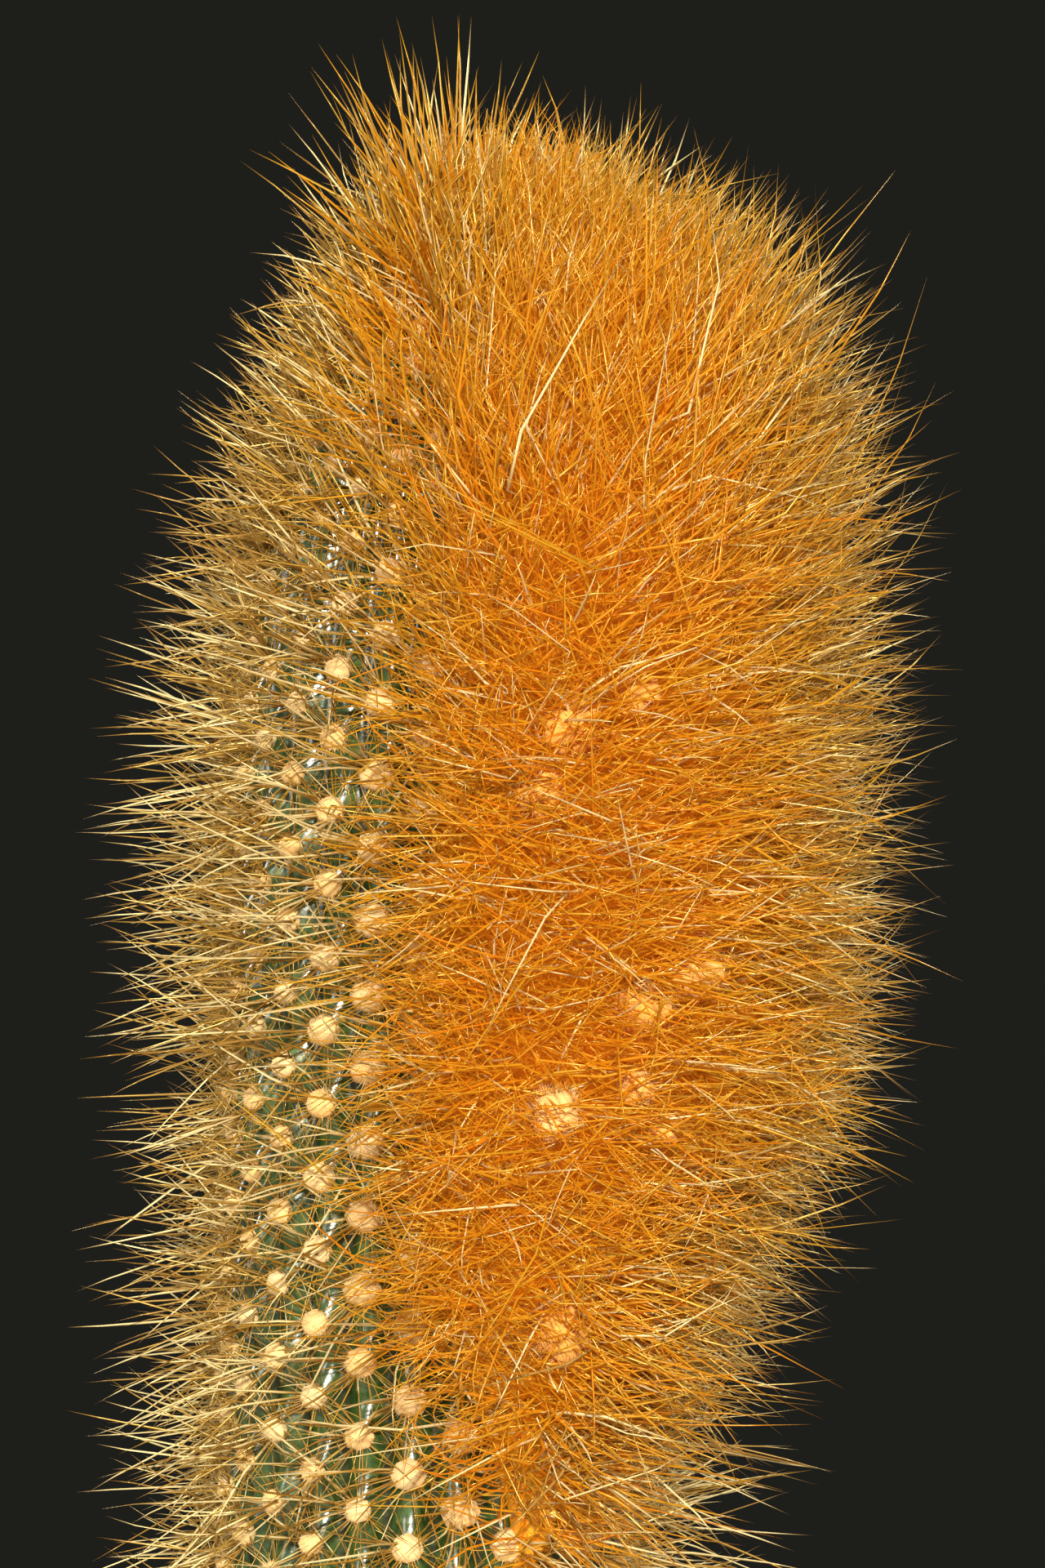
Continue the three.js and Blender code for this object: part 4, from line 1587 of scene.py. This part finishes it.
def long_bristles(count, seed):
    random = np.random.default_rng(seed)
    angle, z = even_places(count, random)
    count = len(z)
    across = across_at(angle, z)
    out, up, side = felt_frame(angle, z)
    root = around(angle, crest_radius(z), z) + out * (GAP + wool_height(across, z) * 0.9)[:, None]
    base = heading(angle + combing(across) * 0.6, spine_rise(z))
    sideways, upward = random.normal(0, LONG_SPREAD, (2, count))
    sideways = sideways + 0.35 * locks(angle, z, 2)
    upward = upward + 0.3 * locks(angle, z, 3)
    way = tilted(base, side, up, sideways, upward)
    near_foot = 1 - (0.15 + 0.45 * across) * (1 - blend_in(z, 0.265, 0.34))
    own = np.clip(random.normal(0.72, 0.17, count), 0.35, 0.98)
    length = LONG_LENGTH * (0.75 + 0.25 * across) * near_foot * own * right_slope(angle, z)
    aside = unit(np.cross(way, random.normal(size=(count, 3))))
    bend = aside * (length * random.uniform(0.02, 0.2, count))[:, None]
    kept = within_reach(root, way, length, bend, random)
    length, bend = length * kept, bend * kept[:, None]
    clear = clear_of_tufts(root, way, length, bend, random)
    radius = LONG_RADIUS * random.uniform(0.7, 1.15, count) * (1 + 0.25 * blend_in(z, 0.37, 0.42))
    pale = np.minimum(0.68 * blend_in(across, 0.25, 0.75) + paleness(across, z), 0.62)
    tint = tints(0.66 - pale, 0.12, 0.14, random)
    parts = (root, way, length, radius, bend, tint)
    return grow("long", STOUT_SPINE, *(part[clear] for part in parts), random)


for index, shape in enumerate((STOUT_SPINE, LONG_SPINE, LONG_SPINE)):
    mat = mat_bristles(shape, MAT_BRISTLES, BRISTLE_SEED + index)
    finish_piece(mat, f"cephalium_mat_{index + 1}", spine_material, "cephalium")
finish_piece(long_bristles(LONG_BRISTLES, BRISTLE_SEED + 5), "cephalium_long_bristles",
             spine_material, "cephalium")

# %% [markdown]
# ## Camera, light and floor
#
# The camera stands level with the upper stem, 0.65 m away, and sees 220 mm of it, as the photograph
# does. The key light comes almost from the front, a little from above and from the right, and from far
# enough away to light the whole plant evenly. A weak fill stands on the left, and a weak lamp behind
# each side, so that the spines at the outline catch the light. The pale floor and the dim warm glow
# all round fill the shadows.

# %% Camera
CAMERA_DISTANCE = 0.65
CAMERA_SIDE = 14.6 * MM
CAMERA_HEIGHT = 352.5 * MM
FRAME_HEIGHT = 219.4 * MM
SENSOR = 36.0


def place_camera():
    camera = bpy.data.cameras.new("camera")
    camera.sensor_width = SENSOR
    camera.lens = SENSOR * CAMERA_DISTANCE / FRAME_HEIGHT
    camera.clip_start = 0.05
    camera.clip_end = 20
    holder = bpy.data.objects.new("camera", camera)
    holder.location = (CAMERA_SIDE, -CAMERA_DISTANCE, CAMERA_HEIGHT)
    holder.rotation_euler = (math.pi / 2, 0, 0)
    bpy.context.scene.collection.objects.link(holder)
    bpy.context.scene.camera = holder


place_camera()

# %% Lights, floor and background
LAMP_TARGET = Vector((0, 0, 0.33))


def add_lamp(name, place, size, power, colour):
    lamp = bpy.data.lights.new(name, "AREA")
    lamp.shape = "DISK"
    lamp.size = size
    lamp.energy = power
    lamp.color = colour
    holder = bpy.data.objects.new(name, lamp)
    holder.location = place
    holder.rotation_euler = (LAMP_TARGET - Vector(place)).to_track_quat("-Z", "Y").to_euler()
    bpy.context.scene.collection.objects.link(holder)


def light_studio():
    add_lamp("key", (0.27, -3.4, 1.4), 0.3, 208, (1.0, 0.94, 0.82))
    add_lamp("fill", (-0.9, -0.9, 0.6), 0.4, 4, (1.0, 0.96, 0.88))
    add_lamp("rim_right", (0.9, 0.6, 0.6), 0.4, 6, (1.0, 0.97, 0.93))
    add_lamp("rim_left", (-0.9, 0.6, 0.6), 0.4, 6, (1.0, 0.97, 0.93))


def set_world():
    """Soft light from all round, with a plain grey backdrop where the camera sees it."""
    world = bpy.data.worlds.new("studio")
    bpy.context.scene.world = world
    world.use_nodes = True
    nodes = Nodes(world.node_tree)
    seen = nodes.add("ShaderNodeBackground", {"Color": (0.013, 0.013, 0.011, 1), "Strength": 1.0})
    glow = nodes.add("ShaderNodeBackground", {"Color": (1.0, 0.95, 0.85, 1), "Strength": 0.13})
    path = nodes.add("ShaderNodeLightPath")
    both = nodes.add("ShaderNodeMixShader", {0: path.outputs[0], 1: glow.outputs[0], 2: seen.outputs[0]})
    nodes.add("ShaderNodeOutputWorld", {0: both.outputs[0]})


def lay_floor():
    start_fresh()
    bpy.ops.mesh.primitive_circle_add(vertices=96, radius=0.9, fill_type="NGON", location=(0, 0, -0.0005))
    floor = bpy.context.object
    floor.name = "floor"
    material, nodes = new_material("pale_floor")
    place = nodes.add("ShaderNodeTexCoord").outputs["Object"]
    tone = nodes.ramp(mottling(nodes, place, 6), [(0.3, (0.38, 0.37, 0.355)), (0.7, (0.42, 0.41, 0.395))])
    shader = nodes.add("ShaderNodeBsdfPrincipled", {"Base Color": tone, "Roughness": 0.8})
    surface(nodes, shader.outputs[0])
    floor.data.materials.append(material)
    floor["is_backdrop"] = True


light_studio()
set_world()
lay_floor()
bpy.context.scene.view_settings.view_transform = "Standard"

# %% [markdown]
# The dressed plant should fill the box of the imported model, and only a few millimetres of spine tips
# may stand out of it. The dressed box is printed.

low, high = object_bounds()
print("dressed box in millimetres:", [round(v / MM, 1) for v in (*low, *high)])
